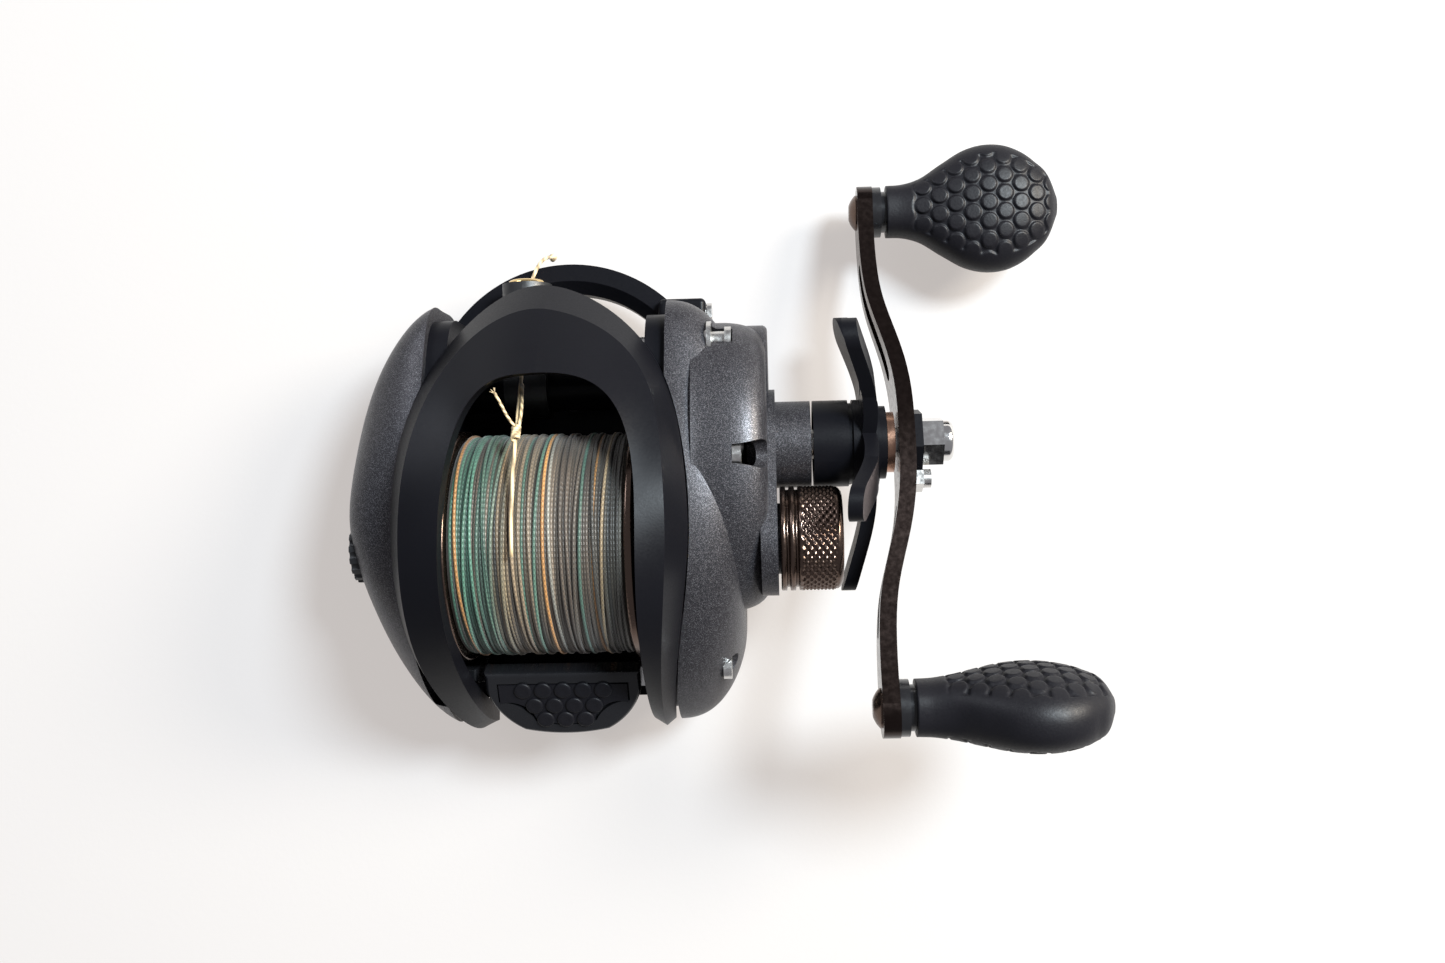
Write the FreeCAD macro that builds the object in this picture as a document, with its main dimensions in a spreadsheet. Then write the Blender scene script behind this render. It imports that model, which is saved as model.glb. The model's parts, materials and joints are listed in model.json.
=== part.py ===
"""Low-profile baitcasting fishing reel, a parametric FreeCAD document.

Frame: millimetres, +Z up, +X towards the handle, +Y towards the rod tip. The origin is on the
underside of the reel foot, directly below the spool axis, in the middle of the spool.
"""
import FreeCAD, Part
import math
import os
import Sketcher

from FreeCAD import Placement, Rotation, Vector

SIZES = {
    # axes, all parallel to X
    "spool_axis_z": 26.0,
    "drive_axis_y": 15.0,
    "drive_axis_z": 21.0,
    "worm_axis_y": 25.5,
    "worm_axis_z": 17.0,
    "handle_angle": 20.0,
    # spool
    "flange_radius": 18.25,
    "flange_thickness": 1.4,
    "spool_half_width": 14.6,
    "drum_radius": 10.0,
    "line_radius": 17.7,
    "line_width": 26.3,
    "line_left": -13.15,
    "spool_shaft_radius": 1.0,
    "spool_shaft_left": -25.0,
    "spool_shaft_length": 61.6,
    # frame and covers
    "wall_thickness": 3.2,
    "left_wall_x": -18.9,
    "right_wall_x": 15.5,
    "spool_bore_radius": 18.6,
    "cover_thickness": 1.6,
    "foot_length": 64.0,
    "foot_width": 15.0,
    "foot_thickness": 2.4,
    # gears
    "drive_teeth": 64.0,
    "pinion_teeth": 10.0,
    "drive_gear_x": 24.4,
    "drive_gear_width": 3.0,
    "level_drive_teeth": 20.0,
    "level_worm_teeth": 24.0,
    "level_gear_x": 20.5,
    "level_gear_width": 1.4,
    "pinion_x": 18.7,
    "pinion_bore": 1.08,
    # handle
    "drive_shaft_radius": 2.4,
    "drive_shaft_left": 16.4,
    "drive_shaft_length": 46.5,
    "arm_half_length": 47.5,
    "arm_thickness": 2.6,
    "arm_width": 9.0,
    "knob_offset": 43.0,
    "post_radius": 1.9,
    "knob_start_x": 55.6,
    "knob_turn_rear": 85.0,
    # star drag
    "star_x": 41.6,
    "star_hub_length": 11.6,
    "star_hub_radius": 7.0,
    "star_radius": 24.3,
    "star_turn": 25.6,
    "star_arms": 5.0,
    # tension knob
    "tension_x": 36.0,
    "tension_length": 9.7,
    "tension_radius": 8.3,
    # level wind
    "worm_radius": 2.5,
    "worm_pitch": 6.5,
    "worm_length": 24.0,
    "guide_rest_x": -5.1,
    "guide_ring_y": 42.0,
    "guide_ring_z": 18.0,
    # thumb bar
    "thumb_front_y": -20.3,
    "thumb_rear_y": -31.9,
    "thumb_left_x": -11.4,
    "thumb_right_x": 13.4,
    # line
    "leader_radius": 0.3,
    "knot_radius": 0.75,
}

# Side outline (Y, Z) of both side covers where they meet the hood
COVER_OUTLINE = (
    (38.6, 22.0), (36.4, 28.8), (29.3, 32.4), (18.5, 36.0), (4.0, 38.0), (-9.0, 35.5), (-20.0, 29.0),
    (-28.0, 20.0), (-30.6, 13.0), (-29.0, 6.6), (-20.0, 3.6), (0.0, 3.2), (22.0, 3.6), (33.0, 6.4),
    (38.0, 13.0),
)
COVER_CENTRE = (5.0, 21.0)

# The hood is a band of six faces that runs from the front crest back along each side. Each station
# has an outer edge, an inner edge, the ridge's share of the way in, its height and the wall's lean.
CREST_STATION = ((0.6, 41.0, 27.5), (0.6, 25.8, 43.2), 0.30, 1.8, 0.0)
LEFT_STATIONS = (
    ((-8.8, 38.2, 28.5), (-4.6, 25.2, 43.2), 0.30, 2.0, 0.0),
    ((-16.6, 29.3, 32.0), (-9.6, 21.3, 43.2), 0.30, 2.4, 0.0),
    ((-20.9, 18.5, 36.6), (-12.4, 13.0, 45.2), 0.33, 3.4, 0.0),
    ((-22.6, 4.0, 38.8), (-13.3, 2.0, 47.2), 0.33, 3.9, 5.0),
    ((-22.4, -9.0, 36.3), (-13.4, -9.0, 45.4), 0.33, 3.8, 25.0),
    ((-20.8, -20.0, 29.4), (-13.0, -20.0, 36.4), 0.35, 2.6, 45.0),
    ((-17.8, -28.0, 20.0), (-12.6, -28.0, 22.5), 0.40, 1.7, 65.0),
    ((-16.4, -30.6, 12.0), (-12.8, -30.6, 12.0), 0.45, 0.8, 85.0),
)
RIGHT_STATIONS = (
    ((9.6, 37.0, 28.5), (7.4, 24.9, 43.2), 0.30, 2.0, 0.0),
    ((17.2, 28.6, 32.0), (12.2, 20.9, 43.2), 0.30, 2.4, 0.0),
    ((21.2, 16.5, 36.8), (14.8, 12.5, 45.2), 0.38, 3.2, 0.0),
    ((22.2, 3.0, 39.0), (15.2, 2.0, 47.2), 0.40, 3.6, 5.0),
    ((21.0, -9.5, 36.2), (15.0, -9.5, 45.2), 0.42, 3.2, 25.0),
    ((19.3, -20.0, 29.4), (14.8, -20.0, 36.0), 0.45, 2.2, 45.0),
    ((18.2, -28.0, 20.0), (14.6, -28.0, 22.5), 0.45, 1.5, 65.0),
    ((17.6, -30.6, 12.0), (14.8, -30.6, 12.0), 0.45, 0.8, 85.0),
)
HOOD_THICKNESS = 2.0
HOOD_OUTER_DROP = 2.2
HOOD_INNER_DROP = 3.2

# Knob sections: distance along the post, half width, half thickness
KNOB_SECTIONS = (
    (0.0, 4.4, 4.2), (2.5, 4.5, 4.3), (5.5, 5.3, 4.7), (9.5, 7.8, 5.3), (13.5, 10.1, 5.8),
    (17.4, 10.95, 6.0), (21.5, 10.3, 5.7), (25.2, 8.0, 4.9), (28.0, 4.8, 3.4), (29.2, 1.8, 1.5),
)

# The braid's free end: from the spool over the knot and under the hood to the guide and the front bar
LEADER_ROUTE = (
    (-3.1, -1.0, 44.9), (-3.2, 8.0, 43.5), (-3.1, 17.4, 39.4), (-3.6, 25.2, 32.4), (-4.6, 31.6, 24.6),
    (-5.1, 36.4, 19.1), (-5.0, 41.8, 17.7), (-4.0, 46.0, 15.6), (-2.8, 48.6, 12.4), (-2.4, 49.0, 8.4),
)

doc = FreeCAD.newDocument("BaitcastReel")
sheet = doc.addObject("Spreadsheet::Sheet", "Sizes")
nodes = []


def fill_sheet():
    """Put every driving dimension in the sheet, one row each, with its name as the alias."""
    for row, (name, value) in enumerate(SIZES.items(), start=1):
        sheet.set(f"A{row}", name)
        sheet.set(f"B{row}", str(value))
        sheet.setAlias(f"B{row}", name)
    doc.recompute()


def size(name):
    """A driving dimension as a number."""
    return float(sheet.get(name))


def placed(x, y, z, turn_about_x=0.0):
    return Placement(Vector(x, y, z), Rotation(Vector(1, 0, 0), turn_about_x))


# ---------------------------------------------------------------- making objects

def add_shape(label, shape, placement=None):
    """A sub-part whose shape Part's functions made."""
    feature = doc.addObject("Part::Feature", label)
    feature.Label = label
    feature.Shape = shape
    if placement is not None:
        feature.Placement = placement.multiply(shape.Placement)
    nodes.append(feature)
    return feature


def add_body(label):
    body = doc.addObject("PartDesign::Body", label)
    body.Label = label
    nodes.append(body)
    return body


def origin_plane(body, role):
    return next(plane for plane in body.Origin.OriginFeatures if plane.Role == role)


def add_sketch(body, role, name):
    sketch = body.newObject("Sketcher::SketchObject", name)
    sketch.AttachmentSupport = [(origin_plane(body, role), "")]
    sketch.MapMode = "FlatFace"
    return sketch


def value_of(size_or_number):
    """A corner's coordinate: a number, or a sum of sheet names such as 'tension_length - 1.5'."""
    if isinstance(size_or_number, (int, float)):
        return float(size_or_number)
    total = 0.0
    sign = 1.0
    for word in size_or_number.split():
        if word in "+-":
            sign = 1.0 if word == "+" else -1.0
        elif word[0].isdigit():
            total += sign * float(word)
        else:
            total += sign * size(word)
    return total


def bound_expression(text):
    words = [word if word in "+-" or word[0].isdigit() else f"Sizes.{word}" for word in text.split()]
    return " ".join(words)


def pin_coordinate(sketch, kind, geometry, coordinate):
    """Fix one corner's X or Y: on an axis where it is 0, else by a distance, bound where it is named."""
    number = value_of(coordinate)
    if abs(number) < 1e-9:
        axis = -2 if kind == "DistanceX" else -1
        sketch.addConstraint(Sketcher.Constraint("PointOnObject", geometry, 1, axis))
        return
    index = sketch.addConstraint(Sketcher.Constraint(kind, -1, 1, geometry, 1, number))
    if isinstance(coordinate, str):
        sketch.setExpression(f"Constraints[{index}]", bound_expression(coordinate))


def draw_polygon(sketch, corners):
    """A closed outline of straight lines, every corner fixed by the sheet or by its own distance."""
    points = [Vector(value_of(x), value_of(y), 0) for x, y in corners]
    count = len(points)
    for index in range(count):
        sketch.addGeometry(Part.LineSegment(points[index], points[(index + 1) % count]), False)
    for index in range(count):
        follower = (index + 1) % count
        sketch.addConstraint(Sketcher.Constraint("Coincident", index, 2, follower, 1))
    for index, (x, y) in enumerate(corners):
        pin_coordinate(sketch, "DistanceX", index, x)
        pin_coordinate(sketch, "DistanceY", index, y)


def turned(label, steps, left_x, axis_y, axis_z, bore=0):
    """A piece turned about X: steps of (end, radius) from its left face, at left_x on the axis."""
    body = add_body(label)
    sketch = add_sketch(body, "XY_Plane", label + "_profile")
    corners = [(0, bore)]
    start = 0
    for end, radius in steps:
        corners.append((start, radius))
        corners.append((end, radius))
        start = end
    corners.append((start, bore))
    draw_polygon(sketch, corners)
    revolution = body.newObject("PartDesign::Revolution", label + "_turning")
    revolution.Profile = sketch
    revolution.ReferenceAxis = (sketch, ["H_Axis"])
    revolution.Angle = 360
    place_body(body, left_x, axis_y, axis_z)
    return body


def place_body(body, x, y, z):
    """Place a body, with each coordinate bound to the sheet where it is named there."""
    body.Placement = placed(value_of(x), value_of(y), value_of(z))
    for letter, coordinate in (("x", x), ("y", y), ("z", z)):
        if isinstance(coordinate, str):
            body.setExpression(f".Placement.Base.{letter}", bound_expression(coordinate))


def cylinder_x(radius, length, x, y, z):
    return Part.makeCylinder(radius, length, Vector(x, y, z), Vector(1, 0, 0))


def box(x0, x1, y0, y1, z0, z1):
    return Part.makeBox(x1 - x0, y1 - y0, z1 - z0, Vector(x0, y0, z0))


def join(shape, others):
    for other in others:
        shape = shape.fuse(other)
    return shape


def carve(shape, others):
    for other in others:
        shape = shape.cut(other)
    return shape


def closed_curve(points):
    curve = Part.BSplineCurve()
    curve.interpolate(points, PeriodicFlag=True)
    return Part.Wire([curve.toShape()])


def cover_section(x, share_y, share_z, inset=0.0):
    """The covers' side outline at one X, drawn in towards its centre."""
    middle_y, middle_z = COVER_CENTRE
    points = []
    for y, z in COVER_OUTLINE:
        reach = math.hypot(y - middle_y, z - middle_z)
        shrink = 1 - inset / reach
        points.append(Vector(x, middle_y + (y - middle_y) * share_y * shrink,
                             middle_z + (z - middle_z) * share_z * shrink))
    return closed_curve(points)


def cover_slab(x0, x1, inset):
    return Part.makeLoft([cover_section(x0, 1, 1, inset), cover_section(x1, 1, 1, inset)], True)


def ellipse_section(x, middle_y, middle_z, half_y, half_z):
    points = [Vector(x, middle_y + half_y * math.cos(turn), middle_z + half_z * math.sin(turn))
              for turn in (2 * math.pi * step / 16 for step in range(16))]
    return closed_curve(points)


def stadium(x, length, radius, first, second):
    """Two discs on the axes first and second, joined by their common tangents."""
    bar_y, bar_z = second[0] - first[0], second[1] - first[1]
    reach = math.hypot(bar_y, bar_z)
    bar = Part.makeBox(length, reach, 2 * radius, Vector(0, 0, -radius))
    bar.Placement = placed(x, first[0], first[1], math.degrees(math.atan2(bar_z, bar_y)))
    discs = [cylinder_x(radius, length, x, y, z) for y, z in (first, second)]
    return bar.fuse(discs).removeSplitter()


def gear_shape(teeth, module, width, addendum, dedendum, root_share, tip_share, bore):
    """A spur gear along X from x = 0, straight-sided teeth, one tooth on +Y."""
    pitch_radius = module * teeth / 2
    pitch_angle = 2 * math.pi / teeth
    root, tip = pitch_radius - dedendum, pitch_radius + addendum
    points = []
    for tooth in range(int(teeth)):
        middle = tooth * pitch_angle
        for radius, share in ((root, -root_share), (tip, -tip_share), (tip, tip_share), (root, root_share)):
            turn = middle + share * pitch_angle / 2
            points.append(Vector(0, radius * math.cos(turn), radius * math.sin(turn)))
    face = Part.Face(Part.makePolygon(points + points[:1]))
    gear = face.extrude(Vector(width, 0, 0))
    return gear.cut(cylinder_x(bore, width + 2, -1, 0, 0))


# ---------------------------------------------------------------- frame and covers

def axis_points():
    return {
        "spool": (0.0, size("spool_axis_z")),
        "drive": (size("drive_axis_y"), size("drive_axis_z")),
        "worm": (size("worm_axis_y"), size("worm_axis_z")),
    }


def hood_section(station):
    outer, inner, share, height, lean = station
    outer, inner = Vector(*outer), Vector(*inner)
    down = Vector(0, math.sin(math.radians(lean)), -math.cos(math.radians(lean)))
    ridge = outer + (inner - outer) * share - down * height
    corners = [outer, ridge, inner, inner + down * HOOD_INNER_DROP, ridge + down * (HOOD_THICKNESS + height * 0.4),
               outer + down * HOOD_OUTER_DROP]
    return Part.makePolygon(corners + corners[:1])


def hood_solid():
    sides = []
    for stations in (LEFT_STATIONS, RIGHT_STATIONS):
        sections = [hood_section(station) for station in (CREST_STATION,) + stations]
        sides.append(Part.makeLoft(sections, True, False))
    return sides[0].fuse(sides[1]).removeSplitter()


def hood_footprint(margin):
    """The hood's plan outline as a tall prism, wider by margin on each side."""
    left = [Vector(x - margin, y, 0) for (x, y, z), *rest in LEFT_STATIONS]
    right = [Vector(x + margin, y, 0) for (x, y, z), *rest in RIGHT_STATIONS]
    tip = Vector(CREST_STATION[0][0], CREST_STATION[0][1] + margin, 0)
    edges = []
    for side in (left, right):
        curve = Part.BSplineCurve()
        curve.interpolate([tip] + side)
        edges.append(curve.toShape())
    rear_y = -34.0
    corners = [left[-1], Vector(left[-1].x, rear_y, 0), Vector(right[-1].x, rear_y, 0), right[-1]]
    edges += [Part.LineSegment(corners[i], corners[i + 1]).toShape() for i in range(3)]
    face = Part.Face(Part.Wire(Part.__sortEdges__(edges)))
    prism = face.extrude(Vector(0, 0, 50))
    prism.translate(Vector(0, 0, 11.5))
    return prism


def frame_solid():
    """Two side rings, the floor that carries the foot, the front bar and the rear bar."""
    axes = axis_points()
    wall = size("wall_thickness")
    left, right = size("left_wall_x"), size("right_wall_x")
    rings = []
    for x in (left, right):
        ring = cover_slab(x, x + wall, 2.2)
        ring = ring.fuse(cylinder_x(size("spool_bore_radius") + 0.5, wall, x, *axes["spool"]))
        rings.append(ring)
    rings[0] = rings[0].cut(cylinder_x(size("spool_bore_radius"), wall + 2, left - 1, *axes["spool"]))
    recess = cylinder_x(size("spool_bore_radius"), 1.6, right - 1, *axes["spool"])
    rings[1] = rings[1].cut(recess.fuse(cylinder_x(4.0, wall + 2, right - 1, *axes["spool"])))
    floor = box(left + 1, right + 1, -20.0, 31.0, size("foot_thickness"), size("foot_thickness") + 2.8)
    rear_bar = box(left + 1, right + 1, -27.0, -22.6, 5.0, 10.5)
    rear_web = box(left + 1, right + 1, -23.0, -18.0, 3.0, 6.5)
    body = join(rings[0], [rings[1], floor, rear_bar, rear_web, front_bar(), front_lug()])
    bushing_radius = 3.6
    drive_seat = cylinder_x(4.2, wall - 0.6, right + 0.8, *axes["drive"])
    cuts = [
        cylinder_x(bushing_radius, wall + 2, left - 1, *axes["worm"]),
        cylinder_x(bushing_radius, wall + 2, right - 1, *axes["worm"]),
        drive_seat,
        box(right - 1, right + wall + 1, -22.6, -19.8, 14.6, 21.0),
        cylinder_x(0.9, 3.0, left + wall - 2.0, -21.0, 18.6),
        cylinder_x(1.1, 33.6, -16.8, 33.4, 10.6),
        cylinder_x(size("flange_radius") + 0.9, right - left - wall - 0.4, left + wall + 0.2, *axes["spool"]),
        worm_clearance(),
    ]
    return carve(body, cuts)


def worm_clearance():
    axes = axis_points()
    return cylinder_x(4.6, size("right_wall_x") - size("left_wall_x") - size("wall_thickness") - 0.02,
                      size("left_wall_x") + size("wall_thickness") + 0.01, *axes["worm"])


def front_bar():
    """The curved bar across the chin, swept along an arc that bulges forward."""
    ends = (Vector(-18.0, 33.6, 10.0), Vector(18.4, 36.2, 10.0))
    middle = Vector(-0.6, 44.4, 10.0)
    path = Part.Wire([Part.Arc(ends[0], middle, ends[1]).toShape()])
    start = path.Edges[0].tangentAt(path.Edges[0].FirstParameter)
    side = Vector(0, 0, 1).cross(start)
    side.normalize()
    half_width, half_height, chamfer = 2.4, 3.2, 1.0
    outline = [(-half_width, -half_height), (half_width - chamfer, -half_height),
               (half_width, -half_height + chamfer), (half_width, half_height - 2 * chamfer),
               (half_width - 2 * chamfer, half_height), (-half_width, half_height)]
    corners = [ends[0] - side * across + Vector(0, 0, up) for across, up in outline]
    profile = Part.makePolygon(corners + corners[:1])
    bar = path.makePipeShell([profile], True, True)
    return bar.common(box(size("left_wall_x"), 24.0, 20.0, 60.0, 0.0, 30.0))


def dome(stations, inset=0.0):
    sections = [cover_section(x, share_y, share_z, inset) for x, share_y, share_z in stations]
    return Part.makeLoft(sections, True, False)


def palm_dome(inset):
    shares = ((-18.9, 1.0, 1.0), (-21.5, 0.95, 0.99), (-24.0, 0.87, 0.945), (-27.0, 0.73, 0.87),
              (-29.3, 0.57, 0.78), (-31.0, 0.40, 0.66), (-32.0, 0.24, 0.46))
    return dome([(x + inset, share_y, share_z) for x, share_y, share_z in shares], inset)


def palm_cover_solid():
    """The removable palm-side cover, hollow, with the brake dial's seat in its outer face."""
    skin = size("cover_thickness")
    axes = axis_points()
    outer = palm_dome(0.0)
    cavity = palm_dome(skin).common(box(-40, -19.0, -60, 60, -10, 60))
    shell = carve(outer, [cavity, hood_footprint(0.15)])
    post = cylinder_x(10.6, 5.6, -31.0, *axes["spool"]).common(outer)
    dial_seat = cylinder_x(5.9, 12.0, -41.25, *axes["spool"])
    stem_bore = cylinder_x(4.2, 20.0, -34.0, *axes["spool"])
    ring = cover_slab(-20.6, -18.95, 3.4).cut(cylinder_x(19.2, 4, -22, *axes["spool"]))
    ring = ring.cut(hood_footprint(0.15))
    hub = ring_x(6.2, 4.0, 3.1, -26.0, *axes["spool"])
    shell = carve(join(shell, [post, ring]), [dial_seat, stem_bore, latch_clearance()]).fuse(hub)
    return largest_solid(shell)


def largest_solid(shape):
    return max(shape.Solids, key=lambda solid: solid.Volume)


def latch_clearance():
    return box(-22.0, -12.0, -26.5, -17.6, 15.5, 32.5)


def gear_cover_solid():
    """The gear-side cover: a shallow dome, the raised oval over the gears, and the two outer hubs."""
    skin = size("cover_thickness")
    axes = axis_points()
    shares = ((18.75, 1.0, 1.0), (22.0, 0.985, 1.0), (25.0, 0.93, 0.965), (27.5, 0.835, 0.90), (29.2, 0.72, 0.80),
              (30.0, 0.60, 0.68))
    oval = ((22.8, 23.2, 16.0), (30.6, 23.0, 15.9), (33.0, 21.8, 15.0), (34.3, 19.6, 13.0))
    outer = dome(shares)
    inner = dome([(x - skin, share_y, share_z) for x, share_y, share_z in shares], skin)
    raised = Part.makeLoft([ellipse_section(x, 11.6, 21.3, half_y, half_z) for x, half_y, half_z in oval], True)
    hollow = Part.makeLoft([ellipse_section(max(x - skin, 24.0), 11.6, 21.3, half_y - 1.3, half_z - 1.3)
                            for x, half_y, half_z in oval], True)
    step = stadium(33.0, 2.6, 9.0, axes["spool"], axes["drive"])
    hubs = [cylinder_x(7.0, 41.2 - 31.0, 31.0, *axes["drive"]), cylinder_x(5.6, 40.4 - 31.4, 31.4, *axes["spool"])]
    front_housing = front_housing_solid()
    solid = carve(join(outer, [raised, step, front_housing]), [inner.fuse(hollow)])
    solid = join(solid, hubs + [screw_bosses(outer)])
    bores = [
        cylinder_x(4.9, 41.2 - 31.0 + 1, 30.5, *axes["drive"]),
        cylinder_x(4.0, 4.0, 31.0, *axes["spool"]),
        cylinder_x(4.3, 6.0, 34.6, *axes["spool"]),
        hood_footprint(0.15),
        cylinder_x(3.15, 0.9, STUD[0] + 1.1, *STUD[1:]),
        cylinder_x(2.25, 5.2, *STUD),
        cylinder_x(2.3, 4.0, 22.6, 37.8, 12.4),
    ] + screw_pockets()
    return largest_solid(carve(solid, bores))


def front_housing_solid():
    """The short drum at the cover's front, over the level-wind gear."""
    drum = cylinder_x(8.6, 7.6, 27.0, 26.2, 18.4)
    return drum.makeFillet(0.9, [edge for edge in drum.Edges if edge.Curve.TypeId == "Part::GeomCircle"])


# x of the seat, y, z, and the x where the screw's boss starts
GEAR_SCREWS = ((29.0, 13.3, 35.6, 27.9), (26.4, -20.6, 23.4, 21.0), (26.6, 30.0, 9.8, 22.5))
STUD = (24.0, 31.4, 28.0)


def screw_pockets():
    return [cylinder_x(2.2, 8.0, x, y, z) for x, y, z, _ in GEAR_SCREWS]


def gear_cover_screws_shape():
    """Three cross-head screws along X, their heads at the bottom of the cover's pockets."""
    screws = []
    for x, y, z, _ in GEAR_SCREWS:
        head = cylinder_x(1.9, 1.3, x + 0.02, y, z)
        slots = box(x + 0.9, x + 2, y - 1.2, y + 1.2, z - 0.22, z + 0.22)
        slots = slots.fuse(box(x + 0.9, x + 2, y - 0.22, y + 0.22, z - 1.2, z + 1.2))
        screws.append(head.cut(slots))
    return Part.makeCompound(screws)


def screw_bosses(outer):
    bosses = [cylinder_x(2.8, 20.0, start, y, z) for _, y, z, start in GEAR_SCREWS]
    return bosses[0].fuse(bosses[1:]).common(outer)


def add_frame_parts():
    frame = frame_solid()
    spool_room = cylinder_x(size("flange_radius") + 0.45, 31.4, -15.6, *axis_points()["spool"])
    hood = carve(hood_solid(), [frame, spool_room])
    cover = gear_cover_solid().cut(frame)
    add_shape("frame", frame)
    add_shape("hood", largest_solid(hood))
    add_shape("gear_side_cover", largest_solid(cover))
    add_shape("gear_cover_screws", gear_cover_screws_shape())
    return frame


def add_reel_foot():
    """The foot: a flat plate whose ends ramp down to slide under a reel seat's hoods."""
    body = add_body("reel_foot")
    sketch = add_sketch(body, "YZ_Plane", "foot_side")
    thick, tip, ramp = "foot_thickness", 1.0, 16.0
    draw_polygon(sketch, [(0, 0), ("foot_length", 0), ("foot_length", tip), (f"foot_length - {ramp}", thick),
                          (ramp, thick), (0, tip)])
    pad = body.newObject("PartDesign::Pad", "foot_pad")
    pad.Profile = sketch
    pad.Midplane = True
    pad.setExpression("Length", "Sizes.foot_width")
    body.Placement = placed(0, -30.0, 0)


def add_foot_rivets():
    """Three round-headed rivets, up through the frame's floor."""
    rivets = []
    floor_top = size("foot_thickness") + 2.8
    for y in (-12.0, 2.0, 16.0):
        head = Part.makeSphere(2.4, Vector(0, y, floor_top - 1.4)).common(box(-3, 3, y - 3, y + 3, floor_top, 9))
        rivets.append(head)
    add_shape("foot_rivets", Part.makeCompound(rivets))


def front_lug():
    """The square lug at the frame's front corner on the gear side, bored for its screw."""
    block = box(16.4, 24.4, 35.0, 40.2, 9.0, 15.6)
    block = block.makeFillet(0.9, block.Edges)
    return block.cut(cylinder_x(1.9, 2.0, 23.6, 37.8, 12.4))


def add_front_lug_screw():
    turned("front_lug_screw", [(0.9, 1.4), (1.7, 1.85)], 23.62, 37.8, 12.4)


def add_cover_stud():
    """The flanged stud at the front of the gear cover."""
    turned("cover_stud", [(1.2, 2.1), (1.9, 3.1), (4.0, 1.5), (5.0, 2.2)], *STUD)


# ---------------------------------------------------------------- spool

def add_spool_group():
    axis_z = "spool_axis_z"
    add_shape("spool", spool_shape(), placed(0, 0, size("spool_axis_z")))
    turned("line_pack", [("line_width", "line_radius")], "line_left", 0, axis_z, bore="drum_radius")
    turned("spool_shaft", [("spool_shaft_length", "spool_shaft_radius")], "spool_shaft_left", 0, axis_z)
    pin = Part.makeCylinder(0.4, 4.0, Vector(0, 0, -2.0)).cut(cylinder_x(size("spool_shaft_radius"), 4, -2, 0, 0))
    add_shape("spool_pin", pin, placed(19.7, 0, size("spool_axis_z")))
    turned("brake_rotor", [(3.0, 8.4)], -17.65, 0, axis_z, bore=7.5)


def spool_shape():
    """The spool about its own axis: two rimmed flanges, a thin drum and a hub on the shaft."""
    edge, half, thick = size("flange_radius"), size("spool_half_width"), size("flange_thickness")
    drum = cylinder_x(size("drum_radius"), 2 * half, -half, 0, 0)
    drum = drum.cut(cylinder_x(size("drum_radius") - 1.0, 2 * half + 2, -half - 1, 0, 0))
    web = cylinder_x(size("drum_radius") - 0.5, 2.0, -1.0, 0, 0)
    hub = cylinder_x(2.6, 16.0, -8.0, 0, 0)
    flanges = []
    for left in (-half, half - thick):
        flange = cylinder_x(edge, thick, left, 0, 0)
        rims = [item for item in flange.Edges if item.Curve.TypeId == "Part::GeomCircle"]
        flange = flange.makeFillet(0.4, rims)
        flanges.append(flange.cut(cylinder_x(size("drum_radius") - 1.0, thick + 2, left - 1, 0, 0)))
    body = drum.fuse([web, hub] + flanges)
    holes = [cylinder_x(1.5, 4, -2, 6.2 * math.cos(turn), 6.2 * math.sin(turn))
             for turn in (2 * math.pi * step / 6 for step in range(6))]
    holes.append(cylinder_x(size("spool_shaft_radius"), 40, -20, 0, 0))
    return body.cut(holes[0].fuse(holes[1:])).removeSplitter()


def add_bearing(label, left_x, axis_y, axis_z, outer, bore, width):
    turned(label, [(width, outer)], left_x, axis_y, axis_z, bore=bore)


# ---------------------------------------------------------------- gear train

def train():
    """Centre distances, modules and the pinion's mesh direction."""
    drive = Vector(0, size("drive_axis_y"), size("drive_axis_z"))
    spool = Vector(0, 0, size("spool_axis_z"))
    worm = Vector(0, size("worm_axis_y"), size("worm_axis_z"))
    to_spool, to_worm = spool - drive, worm - drive
    return {
        "module": 2 * to_spool.Length / (size("drive_teeth") + size("pinion_teeth")),
        "mesh_turn": math.degrees(math.atan2(to_spool.z, to_spool.y)),
        "level_module": 2 * to_worm.Length / (size("level_drive_teeth") + size("level_worm_teeth")),
        "level_turn": math.degrees(math.atan2(to_worm.z, to_worm.y)),
    }


def add_gears():
    gears = train()
    module, level_module = gears["module"], gears["level_module"]
    drive = gear_shape(size("drive_teeth"), module, size("drive_gear_width"), 0.62 * module, 0.95 * module,
                       0.56, 0.30, size("drive_shaft_radius"))
    drive = drive.cut(ring_x(11.6, 6.0, 0.9, -0.1))
    add_shape("drive_gear", drive, placed(size("drive_gear_x"), *axis_points()["drive"], gears["mesh_turn"]))
    add_shape("pinion_gear", pinion_shape(module), placed(size("pinion_x"), *axis_points()["spool"],
                                                         gears["mesh_turn"] + half_pitch("pinion_teeth")))
    level_drive = gear_shape(size("level_drive_teeth"), level_module, size("level_gear_width"),
                             0.62 * level_module, 0.95 * level_module, 0.56, 0.30, size("drive_shaft_radius"))
    add_shape("level_drive_gear", level_drive, placed(size("level_gear_x"), *axis_points()["drive"],
                                                      gears["level_turn"]))
    worm_gear = gear_shape(size("level_worm_teeth"), level_module, size("level_gear_width"),
                           0.62 * level_module, 0.95 * level_module, 0.56, 0.30, 1.2)
    worm_turn = gears["level_turn"] + half_pitch("level_worm_teeth")
    add_shape("worm_gear", worm_gear, placed(size("level_gear_x"), *axis_points()["worm"], worm_turn))


def half_pitch(teeth_name):
    """The turn that puts a gap, not a tooth, on the side facing the mate."""
    teeth = size(teeth_name)
    return 180.0 / teeth if teeth % 2 == 0 else 0.0


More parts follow.
